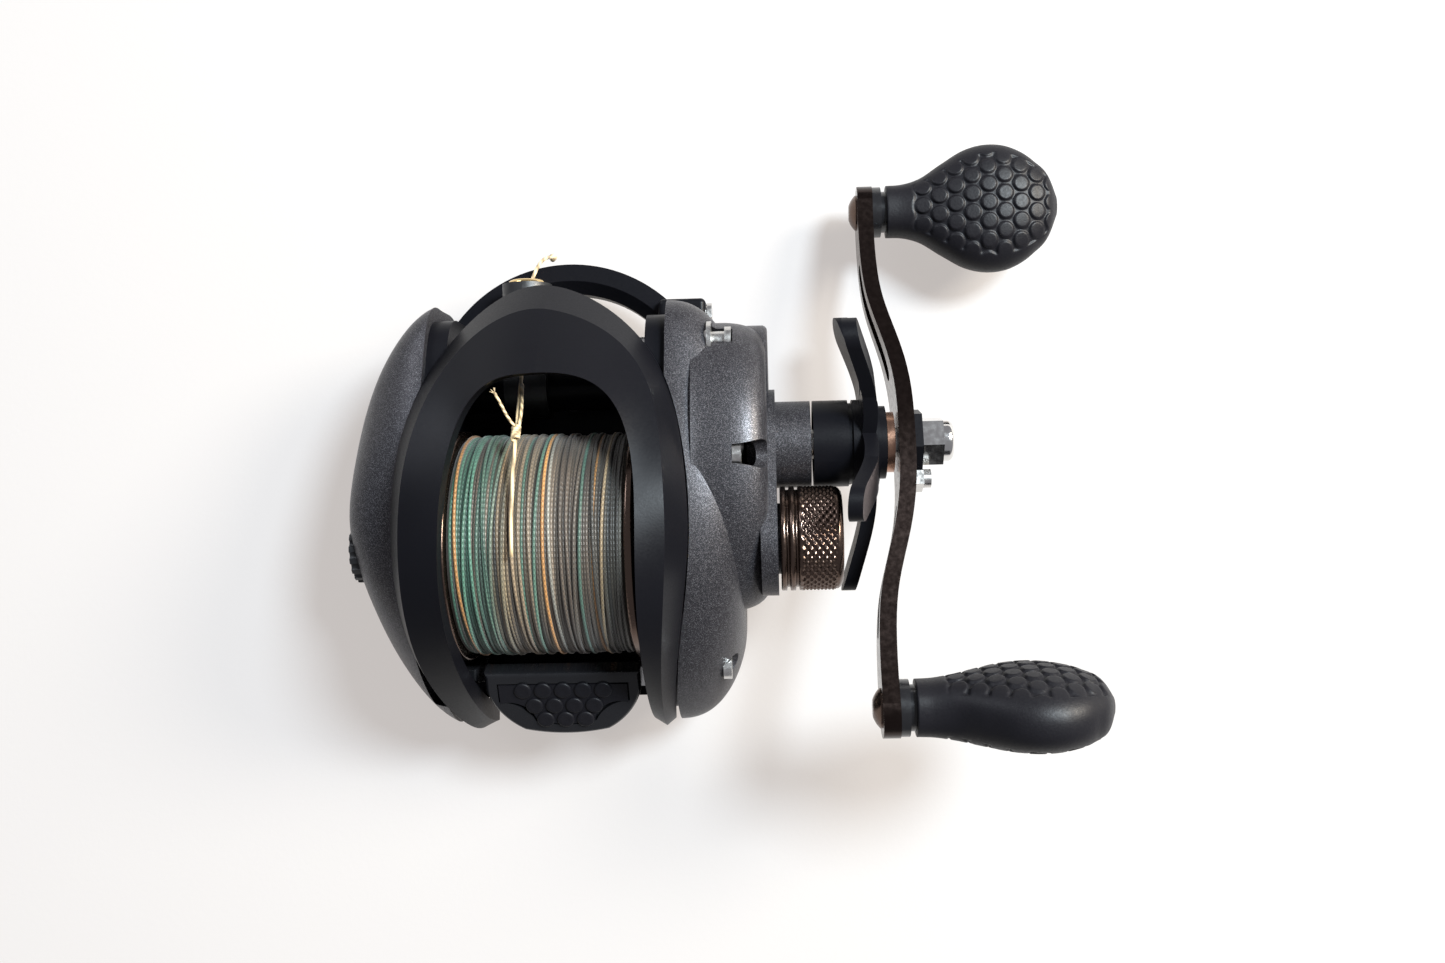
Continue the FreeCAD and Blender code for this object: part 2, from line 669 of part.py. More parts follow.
def pinion_shape(module):
    """The pinion along X: slotted clutch end, collar, yoke groove, teeth and a full-length bore."""
    bore = size("pinion_bore")
    slotted = cylinder_x(2.3, 2.4, 0, 0, 0)
    collar = cylinder_x(2.7, 1.2, 2.3, 0, 0)
    neck = cylinder_x(1.75, 2.2, 3.4, 0, 0)
    teeth = gear_shape(size("pinion_teeth"), module, 6.4, 0.62 * module, 0.95 * module, 0.62, 0.30, bore)
    teeth.translate(Vector(5.6, 0, 0))
    body = slotted.fuse([collar, neck, teeth])
    slot = box(-1, 1.8, -0.75, 0.75, -4, 4)
    slot.rotate(Vector(0, 0, 0), Vector(1, 0, 0), -train()["mesh_turn"] - half_pitch("pinion_teeth"))
    return body.cut(cylinder_x(bore, 20, -2, 0, 0).fuse(slot)).removeSplitter()


def ring_x(outer, inner, length, x, y=0.0, z=0.0):
    return cylinder_x(outer, length, x, y, z).cut(cylinder_x(inner, length + 2, x - 1, y, z))


def add_drive_line():
    """The drive shaft, its drag stack, the anti-reverse clutch and the tube it turns in."""
    axis = ("drive_axis_y", "drive_axis_z")
    shaft = "drive_shaft_radius"
    turned("drive_shaft", [("drive_shaft_length", shaft)], "drive_shaft_left", *axis)
    turned("drag_washers", [(1.4, 10.6)], 27.45, *axis, bore=shaft)
    turned("pressure_plate", [(1.0, 9.6), (1.5, 4.2)], 28.9, *axis, bore=shaft)
    turned("clutch_tube", [(10.9, 3.3)], 30.45, *axis, bore=shaft)
    turned("roller_clutch", [(7.6, 4.85)], 31.6, *axis, bore=3.36)
    turned("handle_spacer", [(1.2, 4.9)], 53.35, *axis, bore=shaft)
    add_bearing("drive_shaft_bearing", 16.5, *axis, 4.1, 2.44, 2.0)


def add_clutch():
    """The yoke that carries the pinion, its two posts, and the cam that the thumb bar turns."""
    axis_z = size("spool_axis_z")
    post_zs = (axis_z - 7.0, axis_z + 7.0)
    middle_y = -1.0
    plate = box(22.3, 23.6, middle_y - 1.9, middle_y + 1.9, *post_zs)
    plate = join(plate, [cylinder_x(1.8, 1.3, 22.3, middle_y, z) for z in post_zs])
    mouth = cylinder_x(1.95, 4, 21, 0, axis_z).fuse(box(21, 25, 0, 3, axis_z - 1.95, axis_z + 1.95))
    holes = [cylinder_x(0.95, 4, 21, middle_y, z) for z in post_zs]
    gear_room = cylinder_x(14.4, 5, 21, *axis_points()["drive"])
    add_shape("pinion_yoke", carve(plate, [mouth.fuse(holes), gear_room]).removeSplitter())
    posts = [cylinder_x(0.8, 6.7, 18.72, middle_y, z) for z in post_zs]
    add_shape("yoke_posts", Part.makeCompound(posts))
    ring = ring_x(6.2, 3.1, 1.1, 18.95, 0, axis_z)
    pin_y, pin_z = THUMB_PIN
    reach = math.hypot(pin_y, pin_z - axis_z)
    arm = box(18.95, 20.05, -reach - 2.9, -4.0, -2.2, 2.2)
    slot = box(18, 21, -reach - 2.2, -reach + 1.5, -1.25, 1.25)
    arm = arm.cut(slot)
    arm.rotate(Vector(0, 0, 0), Vector(1, 0, 0), math.degrees(math.atan2(axis_z - pin_z, -pin_y)))
    arm.translate(Vector(0, 0, axis_z))
    add_shape("clutch_cam", ring.fuse(arm).removeSplitter())


def thumb_outline(inset):
    """The D-shaped plan of the thumb bar: straight towards the spool, rounded behind."""
    front = size("thumb_front_y") - inset
    rear = size("thumb_rear_y") + inset
    left, right = size("thumb_left_x") + inset, size("thumb_right_x") - inset
    shoulder = 3.4
    corner_left = Vector(left, front - shoulder, 0)
    corner_right = Vector(right, front - shoulder, 0)
    middle = (left + right) / 2
    low_left = Vector(left + 5.6, rear + 0.8, 0)
    low_right = Vector(right - 5.6, rear + 0.8, 0)
    edges = [
        Part.LineSegment(Vector(left, front, 0), Vector(right, front, 0)),
        Part.LineSegment(Vector(right, front, 0), corner_right),
        Part.Arc(corner_right, Vector(right - 1.9, rear + 4.1, 0), low_right),
        Part.Arc(low_right, Vector(middle, rear, 0), low_left),
        Part.Arc(low_left, Vector(left + 1.9, rear + 4.1, 0), corner_left),
        Part.LineSegment(corner_left, Vector(left, front, 0)),
    ]
    return Part.Face(Part.Wire([edge.toShape() for edge in edges]))


THUMB_PIN = (-21.2, 19.4)
THUMB_TILT = 24.0
THUMB_TOP_Z = 29.0


def tilt_thumb(shape):
    shape.rotate(Vector(0, size("thumb_front_y"), THUMB_TOP_Z), Vector(1, 0, 0), THUMB_TILT)
    return shape


def add_thumb_bar():
    """The clutch bar with its grip pad, and the pin that reaches through the frame to the cam."""
    plate = thumb_outline(0.0).extrude(Vector(0, 0, 3.0))
    plate.translate(Vector(0, 0, THUMB_TOP_Z - 3.0))
    pad_well = thumb_outline(1.9).extrude(Vector(0, 0, 1.6))
    pad_well.translate(Vector(0, 0, THUMB_TOP_Z - 0.9))
    rim = plate.makeFillet(0.7, plate.Faces[-1].Edges).cut(pad_well)
    add_shape("thumb_bar", tilt_thumb(rim))
    pad = thumb_outline(2.15).extrude(Vector(0, 0, 1.0))
    pad.translate(Vector(0, 0, THUMB_TOP_Z - 0.9))
    add_shape("thumb_pad", tilt_thumb(pad).cut(nodes[-1].Shape))
    pin_y, pin_z = THUMB_PIN
    tab = box(12.2, 14.0, pin_y - 1.6, pin_y + 1.4, pin_z - 1.6, THUMB_TOP_Z - 2.0)
    pin = cylinder_x(0.8, 6.2, 13.9, pin_y, pin_z)
    add_shape("thumb_bar_pin", carve(tab.fuse(pin), [node.Shape for node in nodes[-2:]]))


# ---------------------------------------------------------------- level wind

def worm_groove(left_handed):
    """One of the two crossing helical grooves, as the solid it removes."""
    radius = size("worm_radius")
    helix = Part.makeHelix(size("worm_pitch"), size("worm_length"), radius + 0.1, 0, left_handed)
    depth, proud, half_root, half_mouth = 0.6, 0.7, 0.45, 0.6
    corners = [Vector(radius - depth, 0, -half_root), Vector(radius + proud, 0, -half_mouth),
               Vector(radius + proud, 0, half_mouth), Vector(radius - depth, 0, half_root)]
    return Part.Wire(helix.Edges).makePipeShell([Part.makePolygon(corners + corners[:1])], True, True)


def worm_shaft_shape():
    """The cross-threaded worm along X, with a journal at each end."""
    length, shoulder = size("worm_length"), 1.8
    barrel = Part.makeCylinder(size("worm_radius"), length + 2 * shoulder, Vector(0, 0, -shoulder))
    barrel = carve(barrel, [worm_groove(False), worm_groove(True)])
    left = Part.makeCylinder(1.2, 6.0, Vector(0, 0, -6.4))
    right = Part.makeCylinder(1.2, 10.0, Vector(0, 0, length + 1.0))
    shaft = join(barrel, [left, right])
    shaft.rotate(Vector(0, 0, 0), Vector(0, 1, 0), 90)
    shaft.translate(Vector(-length / 2, 0, 0))
    return shaft


def add_level_wind():
    axis_y, axis_z = axis_points()["worm"]
    add_shape("worm_shaft", worm_shaft_shape(), placed(0, axis_y, axis_z))
    bushings = [ring_x(3.55, 1.26, 3.6, -18.6), ring_x(3.55, 1.26, 2.9, 15.6)]
    add_shape("worm_bushings", Part.makeCompound(bushings), placed(0, axis_y, axis_z))
    guard = ring_x(3.9, 3.1, 29.8, -14.9, axis_y, axis_z)
    slot = box(-12.6, 13.0, axis_y, axis_y + 6, axis_z - 2.0, axis_z + 2.0)
    add_shape("worm_guard", guard.cut(slot))
    add_shape("guide_rod", cylinder_x(1.1, 33.6, -16.8, 33.4, 10.6))
    add_line_guide(axis_y, axis_z)


def add_line_guide(axis_y, axis_z):
    """The carriage round the worm guard and guide rod, its forward arm, the ring and the pawl."""
    x = size("guide_rest_x")
    ring_y, ring_z = size("guide_ring_y"), size("guide_ring_z")
    sleeve = ring_x(5.1, 4.0, 7.0, x - 3.5, axis_y, axis_z)
    rod_eye = ring_x(2.3, 1.2, 5.0, x - 2.5, 33.4, 10.6)
    bridge = box(x - 2.5, x + 2.5, axis_y + 4.4, 33.4, 11.6, 15.6)
    arm = box(x - 2.2, x + 2.2, axis_y + 3.0, ring_y - 4.4, ring_z - 3.4, ring_z + 0.2)
    holder = Part.makeCylinder(4.1, 6.4, Vector(x, ring_y - 5.6, ring_z), Vector(0, 1, 0))
    bore = Part.makeCylinder(2.5, 9.0, Vector(x, ring_y - 7.0, ring_z), Vector(0, 1, 0))
    tunnel = cylinder_x(4.0, 9.0, x - 4.5, axis_y, axis_z).fuse(cylinder_x(1.2, 9.0, x - 4.5, 33.4, 10.6))
    channel = box(x - 1.6, x + 1.6, axis_y + 4, ring_y - 4.0, ring_z - 1.4, ring_z + 6)
    pawl_bore = Part.makeCylinder(1.3, 12.0, Vector(x, axis_y, axis_z), Vector(0, 1, 0))
    body = carve(join(sleeve, [rod_eye, bridge, arm, holder]), [tunnel, bore, channel, pawl_bore])
    add_shape("line_guide_carriage", largest_solid(body))
    add_shape("guide_ring", guide_ring_shape(x, ring_y, ring_z))
    tip = Part.makeCylinder(0.38, 1.4, Vector(x, axis_y + 2.56, axis_z), Vector(0, 1, 0))
    stem = Part.makeCylinder(1.2, 2.4, Vector(x, axis_y + 2.9, axis_z), Vector(0, 1, 0))
    add_shape("guide_pawl", tip.fuse(stem).removeSplitter())


def guide_ring_shape(x, y, z):
    """The hard, polished ring that the braid runs through, flush in its holder."""
    ring = Part.makeTorus(2.45, 0.75, Vector(x, y + 0.75, z), Vector(0, 1, 0))
    liner = Part.makeCylinder(2.5, 6.0, Vector(x, y - 5.5, z), Vector(0, 1, 0))
    liner = liner.cut(Part.makeCylinder(1.95, 8.0, Vector(x, y - 6.5, z), Vector(0, 1, 0)))
    holder = Part.makeCylinder(4.1, 6.4, Vector(x, y - 5.6, z), Vector(0, 1, 0))
    holder = holder.cut(Part.makeCylinder(2.5, 9.0, Vector(x, y - 7.0, z), Vector(0, 1, 0)))
    return ring.fuse(liner).cut(holder).removeSplitter()


# ---------------------------------------------------------------- star drag and handle

def star_arm(turn):
    """One curved arm: a dished band cut to a tapered plan with a round tip."""
    tip = size("star_radius")
    root_x, tip_x, thick = 9.6, 6.2, 2.2
    outer = [Vector(root_x, 0, 5.0), Vector(root_x + 0.2, 0, 11.0), Vector(8.2, 0, 18.0), Vector(tip_x, 0, tip + 1)]
    curve = Part.BSplineCurve()
    curve.interpolate(outer)
    inner = Part.BSplineCurve()
    inner.interpolate([point - Vector(thick, 0, 0) for point in outer])
    ends = [Part.LineSegment(outer[0], outer[0] - Vector(thick, 0, 0)),
            Part.LineSegment(outer[-1], outer[-1] - Vector(thick, 0, 0))]
    edges = [curve.toShape(), inner.toShape()] + [end.toShape() for end in ends]
    band = Part.Face(Part.Wire(Part.__sortEdges__(edges))).extrude(Vector(0, 12, 0))
    band.translate(Vector(0, -6, 0))
    tip_half = 2.9
    plan = [Vector(0, -4.6, 4), Vector(0, 4.6, 4), Vector(0, 3.0, 12), Vector(0, tip_half, tip - tip_half),
            Vector(0, -tip_half, tip - tip_half), Vector(0, -3.0, 12)]
    prism = Part.Face(Part.makePolygon(plan + plan[:1])).extrude(Vector(20, 0, 0))
    round_tip = cylinder_x(tip_half, 20, 0, 0, tip - tip_half)
    arm = band.common(prism.fuse(round_tip))
    arm.rotate(Vector(0, 0, 0), Vector(1, 0, 0), turn)
    return arm


def add_star_drag():
    """The star wheel: a grooved hub with five dished arms, hollow for the nut that it screws in."""
    length, radius = size("star_hub_length"), size("star_hub_radius")
    hub = cylinder_x(radius, length, 0, 0, 0)
    hub = hub.cut(ring_x(radius + 1, radius - 0.5, 0.7, 5.6))
    hub = hub.cut(ring_x(radius + 1, radius - 1.1, 2.0, length - 1.2))
    step = 360.0 / size("star_arms")
    arms = [star_arm(step * index) for index in range(int(size("star_arms")))]
    cavity = cylinder_x(5.4, 6.0, -1, 0, 0)
    bore = cylinder_x(size("drive_shaft_radius") + 0.06, length + 4, -2, 0, 0)
    wheel = hub.fuse(arms).cut(cavity.fuse(bore)).removeSplitter()
    add_shape("star_drag", wheel, placed(size("star_x"), *axis_points()["drive"], size("star_turn")))
    nut = prism_x(6, 5.0, 1.4).cut(cylinder_x(size("drive_shaft_radius") + 0.06, 4, -1, 0, 0))
    add_shape("star_nut", nut, placed(43.9, *axis_points()["drive"]))


def prism_x(sides, radius, length, x=0.0):
    points = [Vector(x, radius * math.cos(2 * math.pi * step / sides), radius * math.sin(2 * math.pi * step / sides))
              for step in range(sides)]
    return Part.Face(Part.makePolygon(points + points[:1])).extrude(Vector(length, 0, 0))


ARM_BOW = ((0.0, 55.0), (7.0, 54.9), (15.5, 53.7), (25.0, 51.3), (34.0, 50.5), (47.5, 50.6))


def arm_band():
    """The bowed strip seen edge on, swept sideways to the widest the arm gets."""
    thick, width = size("arm_thickness"), 14.0
    inner_points = [Vector(x, -along, 0) for along, x in reversed(ARM_BOW[1:])]
    inner_points += [Vector(x, along, 0) for along, x in ARM_BOW]
    inner = Part.BSplineCurve()
    inner.interpolate(inner_points)
    outer = Part.BSplineCurve()
    outer.interpolate([point + Vector(thick, 0, 0) for point in inner_points])
    ends = [Part.LineSegment(point, point + Vector(thick, 0, 0)) for point in (inner_points[0], inner_points[-1])]
    edges = [inner.toShape(), outer.toShape()] + [end.toShape() for end in ends]
    band = Part.Face(Part.Wire(Part.__sortEdges__(edges))).extrude(Vector(0, 0, width))
    band.translate(Vector(0, 0, -width / 2))
    return band


def arm_plan():
    """The arm's broad side: waisted, round at both ends, with two lightening slots a side."""
    half, end = size("arm_half_length"), 4.4
    root = size("arm_width") / 2 + 1.4
    side = [(-half + end, end), (-28.0, 3.5), (-14.0, 4.4), (0.0, root), (14.0, 4.4), (28.0, 3.5), (half - end, end)]
    edges = []
    for sign in (1, -1):
        curve = Part.BSplineCurve()
        curve.interpolate([Vector(40, along, sign * across) for along, across in side])
        edges.append(curve.toShape())
    for sign in (1, -1):
        tip = sign * (half - end)
        edges.append(Part.Arc(Vector(40, tip, end), Vector(40, tip + sign * end, 0), Vector(40, tip, -end)).toShape())
    plan = Part.Face(Part.Wire(Part.__sortEdges__(edges))).extrude(Vector(30, 0, 0))
    cuts = [cylinder_x(size("drive_shaft_radius"), 30, 40, 0, 0)]
    for sign in (1, -1):
        cuts.append(cylinder_x(size("post_radius"), 30, 40, sign * size("knob_offset"), 0))
        slot = box(40, 70, 12.5, 31.0, -1.5, 1.5).fuse([cylinder_x(1.5, 30, 40, y, 0) for y in (12.5, 31.0)])
        if sign < 0:
            slot.rotate(Vector(0, 0, 0), Vector(1, 0, 0), 180)
        cuts.append(slot)
    return plan.cut(cuts[0].fuse(cuts[1:]))


def handle_placement():
    return placed(0, *axis_points()["drive"], -size("handle_angle"))


def add_handle_arm():
    arm = arm_band().common(arm_plan())
    add_shape("handle_arm", largest_solid(arm), handle_placement())
    base = prism_x(6, 5.6, 1.3, 57.65).cut(cylinder_x(size("drive_shaft_radius"), 9, 52, 0, 0))
    add_shape("handle_nut_plate", base, handle_placement())
    dome_nut = prism_x(6, 4.1, 3.4, 59.0).fuse(cylinder_x(3.3, 1.9, 62.2, 0, 0))
    rim = [edge for edge in dome_nut.Edges if edge.BoundBox.XMin > 64.0]
    dome_nut = dome_nut.makeFillet(0.9, rim)
    dome_nut = dome_nut.cut(cylinder_x(size("drive_shaft_radius"), 3.95, 58.96, 0, 0))
    add_shape("handle_nut", dome_nut, handle_placement())
    lock = cylinder_x(1.5, 1.2, 59.0, -6.4, 0)
    tab = box(57.65, 58.95, -8.0, -5.7, -2.0, 2.0)
    add_shape("nut_lock_screw", lock.fuse(tab.cut(base)).removeSplitter(), handle_placement())


def knob_end(sign):
    """The YZ place of a knob's post: front is +1, rear is -1."""
    turn = math.radians(-size("handle_angle"))
    reach = sign * size("knob_offset")
    drive_y, drive_z = axis_points()["drive"]
    return drive_y + reach * math.cos(turn), drive_z + reach * math.sin(turn)


def post_shape():
    """A knob post: a domed rivet head inside the arm, the post, and the cap screw's seat."""
    radius = size("post_radius")
    post = cylinder_x(radius, 27.4, 50.0, 0, 0)
    head = Part.makeSphere(4.2, Vector(53.2, 0, 0)).common(cylinder_x(3.0, 1.4, 49.2, 0, 0))
    return post.fuse(head).removeSplitter()


def knob_shape():
    """A paddle knob, flat and rounded, bored for its post and the two bearings."""
    start = size("knob_start_x")
    sections = []
    for along, half_wide, half_thick in KNOB_SECTIONS:
        sections.append(ellipse_section(start + along, 0, 0, half_wide, half_thick))
    knob = Part.makeLoft(sections, True, False)
    bore = cylinder_x(size("post_radius") + 0.5, 23.0, start - 1, 0, 0)
    seats = [cylinder_x(3.2, 3.2, start - 1, 0, 0)]
    return knob.cut(bore.fuse(seats + [cylinder_x(3.2, 2.4, start + 19.6, 0, 0)]))


def add_knob(name, sign, turn):
    y, z = knob_end(sign)
    add_shape(f"{name}_knob", knob_shape(), placed(0, y, z, turn))
    start, radius = size("knob_start_x"), size("post_radius")
    bearings = [ring_x(3.1, radius + 0.04, 2.0, start + offset) for offset in (0.1, 19.8)]
    add_shape(f"{name}_knob_bearings", Part.makeCompound(bearings), placed(0, y, z))


def add_knob_posts():
    """Both posts, riveted through the arm's ends, and the stepped collars against its outer face."""
    start, radius = size("knob_start_x"), size("post_radius")
    posts, collars = [], []
    for sign in (1, -1):
        y, z = knob_end(sign)
        arm = arm_in_post_frame(sign)
        collar = join(ring_x(4.3, radius, 2.2, start - 3.2), [ring_x(3.5, radius, 1.1, start - 1.1)]).cut(arm)
        for shapes, shape in ((posts, post_shape().cut(arm)), (collars, largest_solid(collar))):
            shape.translate(Vector(0, y, z))
            shapes.append(shape)
    add_shape("knob_posts", Part.makeCompound(posts))
    add_shape("knob_collars", Part.makeCompound(collars))


def arm_in_post_frame(sign):
    """The arm as the post meets it, so the rivet head seats on its bowed face."""
    arm = arm_band()
    arm.rotate(Vector(0, 0, 0), Vector(1, 0, 0), -size("handle_angle"))
    y, z = knob_end(sign)
    drive_y, drive_z = axis_points()["drive"]
    arm.translate(Vector(0, drive_y - y, drive_z - z))
    return arm.cut(cylinder_x(size("post_radius"), 40, 40, 0, 0))


# ---------------------------------------------------------------- tension knob and palm side

def add_tension_knob():
    """The cast-control cap: two base grooves, a knurl band's plain core and a chamfered end."""
    radius = size("tension_radius")
    length = size("tension_length")
    cap = cylinder_x(radius, length, 0, 0, 0)
    rim = [edge for edge in cap.Edges if edge.BoundBox.XMin > length - 0.1 and edge.Curve.TypeId == "Part::GeomCircle"]
    cap = cap.makeChamfer(0.9, rim)
    grooves = [ring_x(radius + 1, radius - 0.6, 0.5, x) for x in (0.9, 2.3)]
    cap = cap.cut(grooves[0].fuse(grooves[1:])).cut(cylinder_x(5.66, 5.7, -1, 0, 0))
    add_shape("tension_knob", cap, placed(size("tension_x"), *axis_points()["spool"]))
    turned("tension_shim", [(0.8, 3.4)], 37.0, 0, "spool_axis_z")


def add_palm_side():
    """The palm cover with its brake: dial, stem, magnet plate and magnets, bearing and its cup."""
    add_shape("palm_side_cover", palm_cover_solid())
    dial = cylinder_x(5.6, 2.2, -31.6, 0, 0)
    grip = [cylinder_x(0.6, 4, -32.4, 5.8 * math.cos(turn), 5.8 * math.sin(turn))
            for turn in (2 * math.pi * step / 18 for step in range(18))]
    finger = box(-32.3, -31.0, -4.6, 4.6, -1.2, 1.2).common(cylinder_x(4.6, 2, -32.5, 0, 0))
    dial = dial.cut(grip[0].fuse(grip[1:])).fuse(finger)
    stem = cylinder_x(4.1, 3.2, -29.5, 0, 0).cut(cylinder_x(3.2, 4, -28.6, 0, 0))
    add_shape("brake_dial", dial.fuse(stem).removeSplitter(), placed(0, *axis_points()["spool"]))
    carrier = ring_x(8.6, 6.3, 1.4, -22.8)
    magnets = [cylinder_x(1.1, 1.8, -21.4, 7.45 * math.cos(turn), 7.45 * math.sin(turn))
               for turn in (2 * math.pi * step / 8 for step in range(8))]
    add_shape("magnet_carrier", carrier, placed(0, *axis_points()["spool"]))
    add_shape("brake_magnets", Part.makeCompound(magnets), placed(0, *axis_points()["spool"]))
    add_bearing("spool_bearing_left", -25.4, 0, "spool_axis_z", 4.0, 1.04, 2.4)
    add_bearing("spool_bearing_right", 32.7, 0, "spool_axis_z", 3.98, 1.04, 1.8)


def add_release_latch():
    """The palm cover's release lever behind the spool, with the pin that it swings on."""
    lever = box(-15.4, -13.2, -22.4, -19.6, 18.4, 24.8)
    lever = lever.makeFillet(0.8, [edge for edge in lever.Edges if edge.BoundBox.ZMin > 20])
    eye = cylinder_x(2.0, 2.2, -15.4, -21.0, 18.6)
    pin = cylinder_x(0.85, 2.6, -16.6, -21.0, 18.6)
    add_shape("release_lever", join(lever, [eye, pin]))


# ---------------------------------------------------------------- the braid's free end

def rounded_route(points):
    """Straight runs joined by tangent arcs, each as large as its two runs allow."""
    corners = [Vector(*point) for point in points]
    edges = []
    here = corners[0]
    for index in range(1, len(corners) - 1):
        before = corners[index] - corners[index - 1]
        after = corners[index + 1] - corners[index]
        reach = 0.45 * min(before.Length, after.Length)
        turn = before.getAngle(after)
        print("arc radius", round(reach / math.tan(turn / 2), 2), "turn", round(math.degrees(turn), 1))
        before.normalize()
        after.normalize()
        enter, leave = corners[index] - before * reach, corners[index] + after * reach
        bisector = after - before
        bisector.normalize()
        radius = reach / math.tan(turn / 2)
        middle = corners[index] + bisector * (radius / math.cos(turn / 2) - radius)
        edges.append(Part.LineSegment(here, enter).toShape())
        edges.append(Part.Arc(enter, middle, leave).toShape())
        here = leave
    edges.append(Part.LineSegment(here, corners[-1]).toShape())
    return Part.Wire(edges)


def add_leader():
    """The braid's free end and the small knot where it is tied off."""
    radius = size("leader_radius")
    path = rounded_route(LEADER_ROUTE)
    start = Vector(*LEADER_ROUTE[0])
    along = Vector(*LEADER_ROUTE[1]) - start
    disc = Part.Wire([Part.makeCircle(radius, start, along)])
    tube = path.makePipeShell([disc], True, True)
    print("leader", tube.Volume, math.pi * radius ** 2 * path.Length, path.Length)
    knot = Part.makeSphere(size("knot_radius"), Vector(*LEADER_ROUTE[-1]))
    add_shape("line_leader", tube.cut(knot))
    add_shape("line_knot", knot)


# ---------------------------------------------------------------- build

def check_document():
    doc.recompute()
    for item in doc.Objects:
        if "Invalid" in item.State or "Error" in item.State:
            raise RuntimeError(f"{item.Label} failed: {item.State}")
    for node in nodes:
        if node.Shape.isNull() or not node.Shape.isValid() or not node.Shape.Solids:
            raise RuntimeError(f"{node.Label} has no valid solid")


def main():
    fill_sheet()
    add_frame_parts()
    add_reel_foot()
    add_foot_rivets()
    add_front_lug_screw()
    add_cover_stud()
    add_spool_group()
    add_gears()
    add_drive_line()
    add_clutch()
    add_thumb_bar()
    add_level_wind()
    add_star_drag()
    add_handle_arm()
    add_knob_posts()
    add_knob("front", 1, 0.0)
    add_knob("rear", -1, size("knob_turn_rear"))
    add_tension_knob()
    add_palm_side()
    add_release_latch()
    add_leader()
    check_document()
    os.makedirs("parts", exist_ok=True)
    for node in nodes:
        node.Shape.exportStep(f"parts/{node.Label}.step")
    print(len(nodes), "nodes")


main()
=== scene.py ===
"""Low-profile baitcasting reel on a pale table.

The CAD frame carries the shapes. Here the camera, the light, the finishes and the pieces that CAD
keeps plain are made: the wound braid, its free end with the joining knot, the rubber grips, the
knurled tension cap and the scales on the thumb pad.
Metres. The row frame is the reel's own: +X towards the handle, +Y towards the rod tip, +Z up.
"""

import json
import math
import random

import bpy
import numpy as np
from mathutils import Matrix, Vector


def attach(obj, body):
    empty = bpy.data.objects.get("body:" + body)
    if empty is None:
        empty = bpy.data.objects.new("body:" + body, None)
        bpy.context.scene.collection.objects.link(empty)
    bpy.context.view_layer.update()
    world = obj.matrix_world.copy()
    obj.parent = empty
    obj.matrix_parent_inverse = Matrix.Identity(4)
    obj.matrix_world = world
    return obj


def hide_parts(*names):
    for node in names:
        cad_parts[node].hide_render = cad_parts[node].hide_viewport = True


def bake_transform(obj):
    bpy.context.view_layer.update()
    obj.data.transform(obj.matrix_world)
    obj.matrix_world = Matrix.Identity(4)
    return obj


MM = 0.001
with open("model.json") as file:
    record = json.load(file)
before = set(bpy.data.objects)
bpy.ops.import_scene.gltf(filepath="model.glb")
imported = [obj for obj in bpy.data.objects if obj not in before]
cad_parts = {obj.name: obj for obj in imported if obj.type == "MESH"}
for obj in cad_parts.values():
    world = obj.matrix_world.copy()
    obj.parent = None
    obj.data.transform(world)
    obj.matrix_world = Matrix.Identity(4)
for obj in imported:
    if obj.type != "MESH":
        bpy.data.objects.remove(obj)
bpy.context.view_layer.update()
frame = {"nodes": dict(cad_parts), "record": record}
NODES = frame["nodes"]


# ---------------------------------------------------------------- camera

CAMERA_AT = (35.9 * MM, 8.67 * MM, 224.9 * MM)
CAMERA_LEAN, CAMERA_PITCH, CAMERA_ROLL = 2.56, -0.17, 1.38
CAMERA_LENS = 31.2


def add_camera():
    lean, pitch, roll = (math.radians(angle) for angle in (CAMERA_LEAN, CAMERA_PITCH, CAMERA_ROLL))
    level = math.cos(pitch)
    forward = Vector((-math.sin(lean) * level, -math.sin(pitch), -math.cos(lean) * level))
    right = forward.cross(Vector((0, 1, 0))).normalized()
    up = right.cross(forward)
    turned_right = math.cos(roll) * right - math.sin(roll) * up
    turned_up = math.sin(roll) * right + math.cos(roll) * up
    data = bpy.data.cameras.new("camera")
    data.lens, data.sensor_width, data.clip_start, data.clip_end = CAMERA_LENS, 36.0, 0.01, 20.0
    camera = bpy.data.objects.new("camera", data)
    axes = Matrix((turned_right, turned_up, -forward)).transposed().to_4x4()
    axes.translation = Vector(CAMERA_AT)
    camera.matrix_world = axes
    bpy.context.scene.collection.objects.link(camera)
    bpy.context.scene.camera = camera


add_camera()


# ---------------------------------------------------------------- mesh helpers

def mesh_object(name, points, faces, smooth=True):
    mesh = bpy.data.meshes.new(name)
    mesh.from_pydata([tuple(point) for point in points], [], faces)
    mesh.update()
    if smooth:
        mesh.polygons.foreach_set("use_smooth", [True] * len(mesh.polygons))
    piece = bpy.data.objects.new(name, mesh)
    bpy.context.scene.collection.objects.link(piece)
    return piece


def grid_faces(rows, columns, wrap, start=0):
    """Quads between neighbouring rows of a grid of points, closed across the columns if wrap is set."""
    faces = []
    last = columns if wrap else columns - 1
    for row in range(rows - 1):
        for column in range(last):
            here = start + row * columns + column
            there = start + row * columns + (column + 1) % columns
            faces.append((here, there, there + columns, here + columns))
    return faces


def colour_points(piece, colours, name="tint"):
    layer = piece.data.color_attributes.new(name, "FLOAT_COLOR", "POINT")
    flat = np.ones((len(colours), 4), np.float32)
    flat[:, :3] = np.asarray(colours, np.float32)
    layer.data.foreach_set("color", flat.ravel())


def float_points(piece, values, name):
    layer = piece.data.attributes.new(name, "FLOAT", "POINT")
    layer.data.foreach_set("value", np.asarray(values, np.float32))


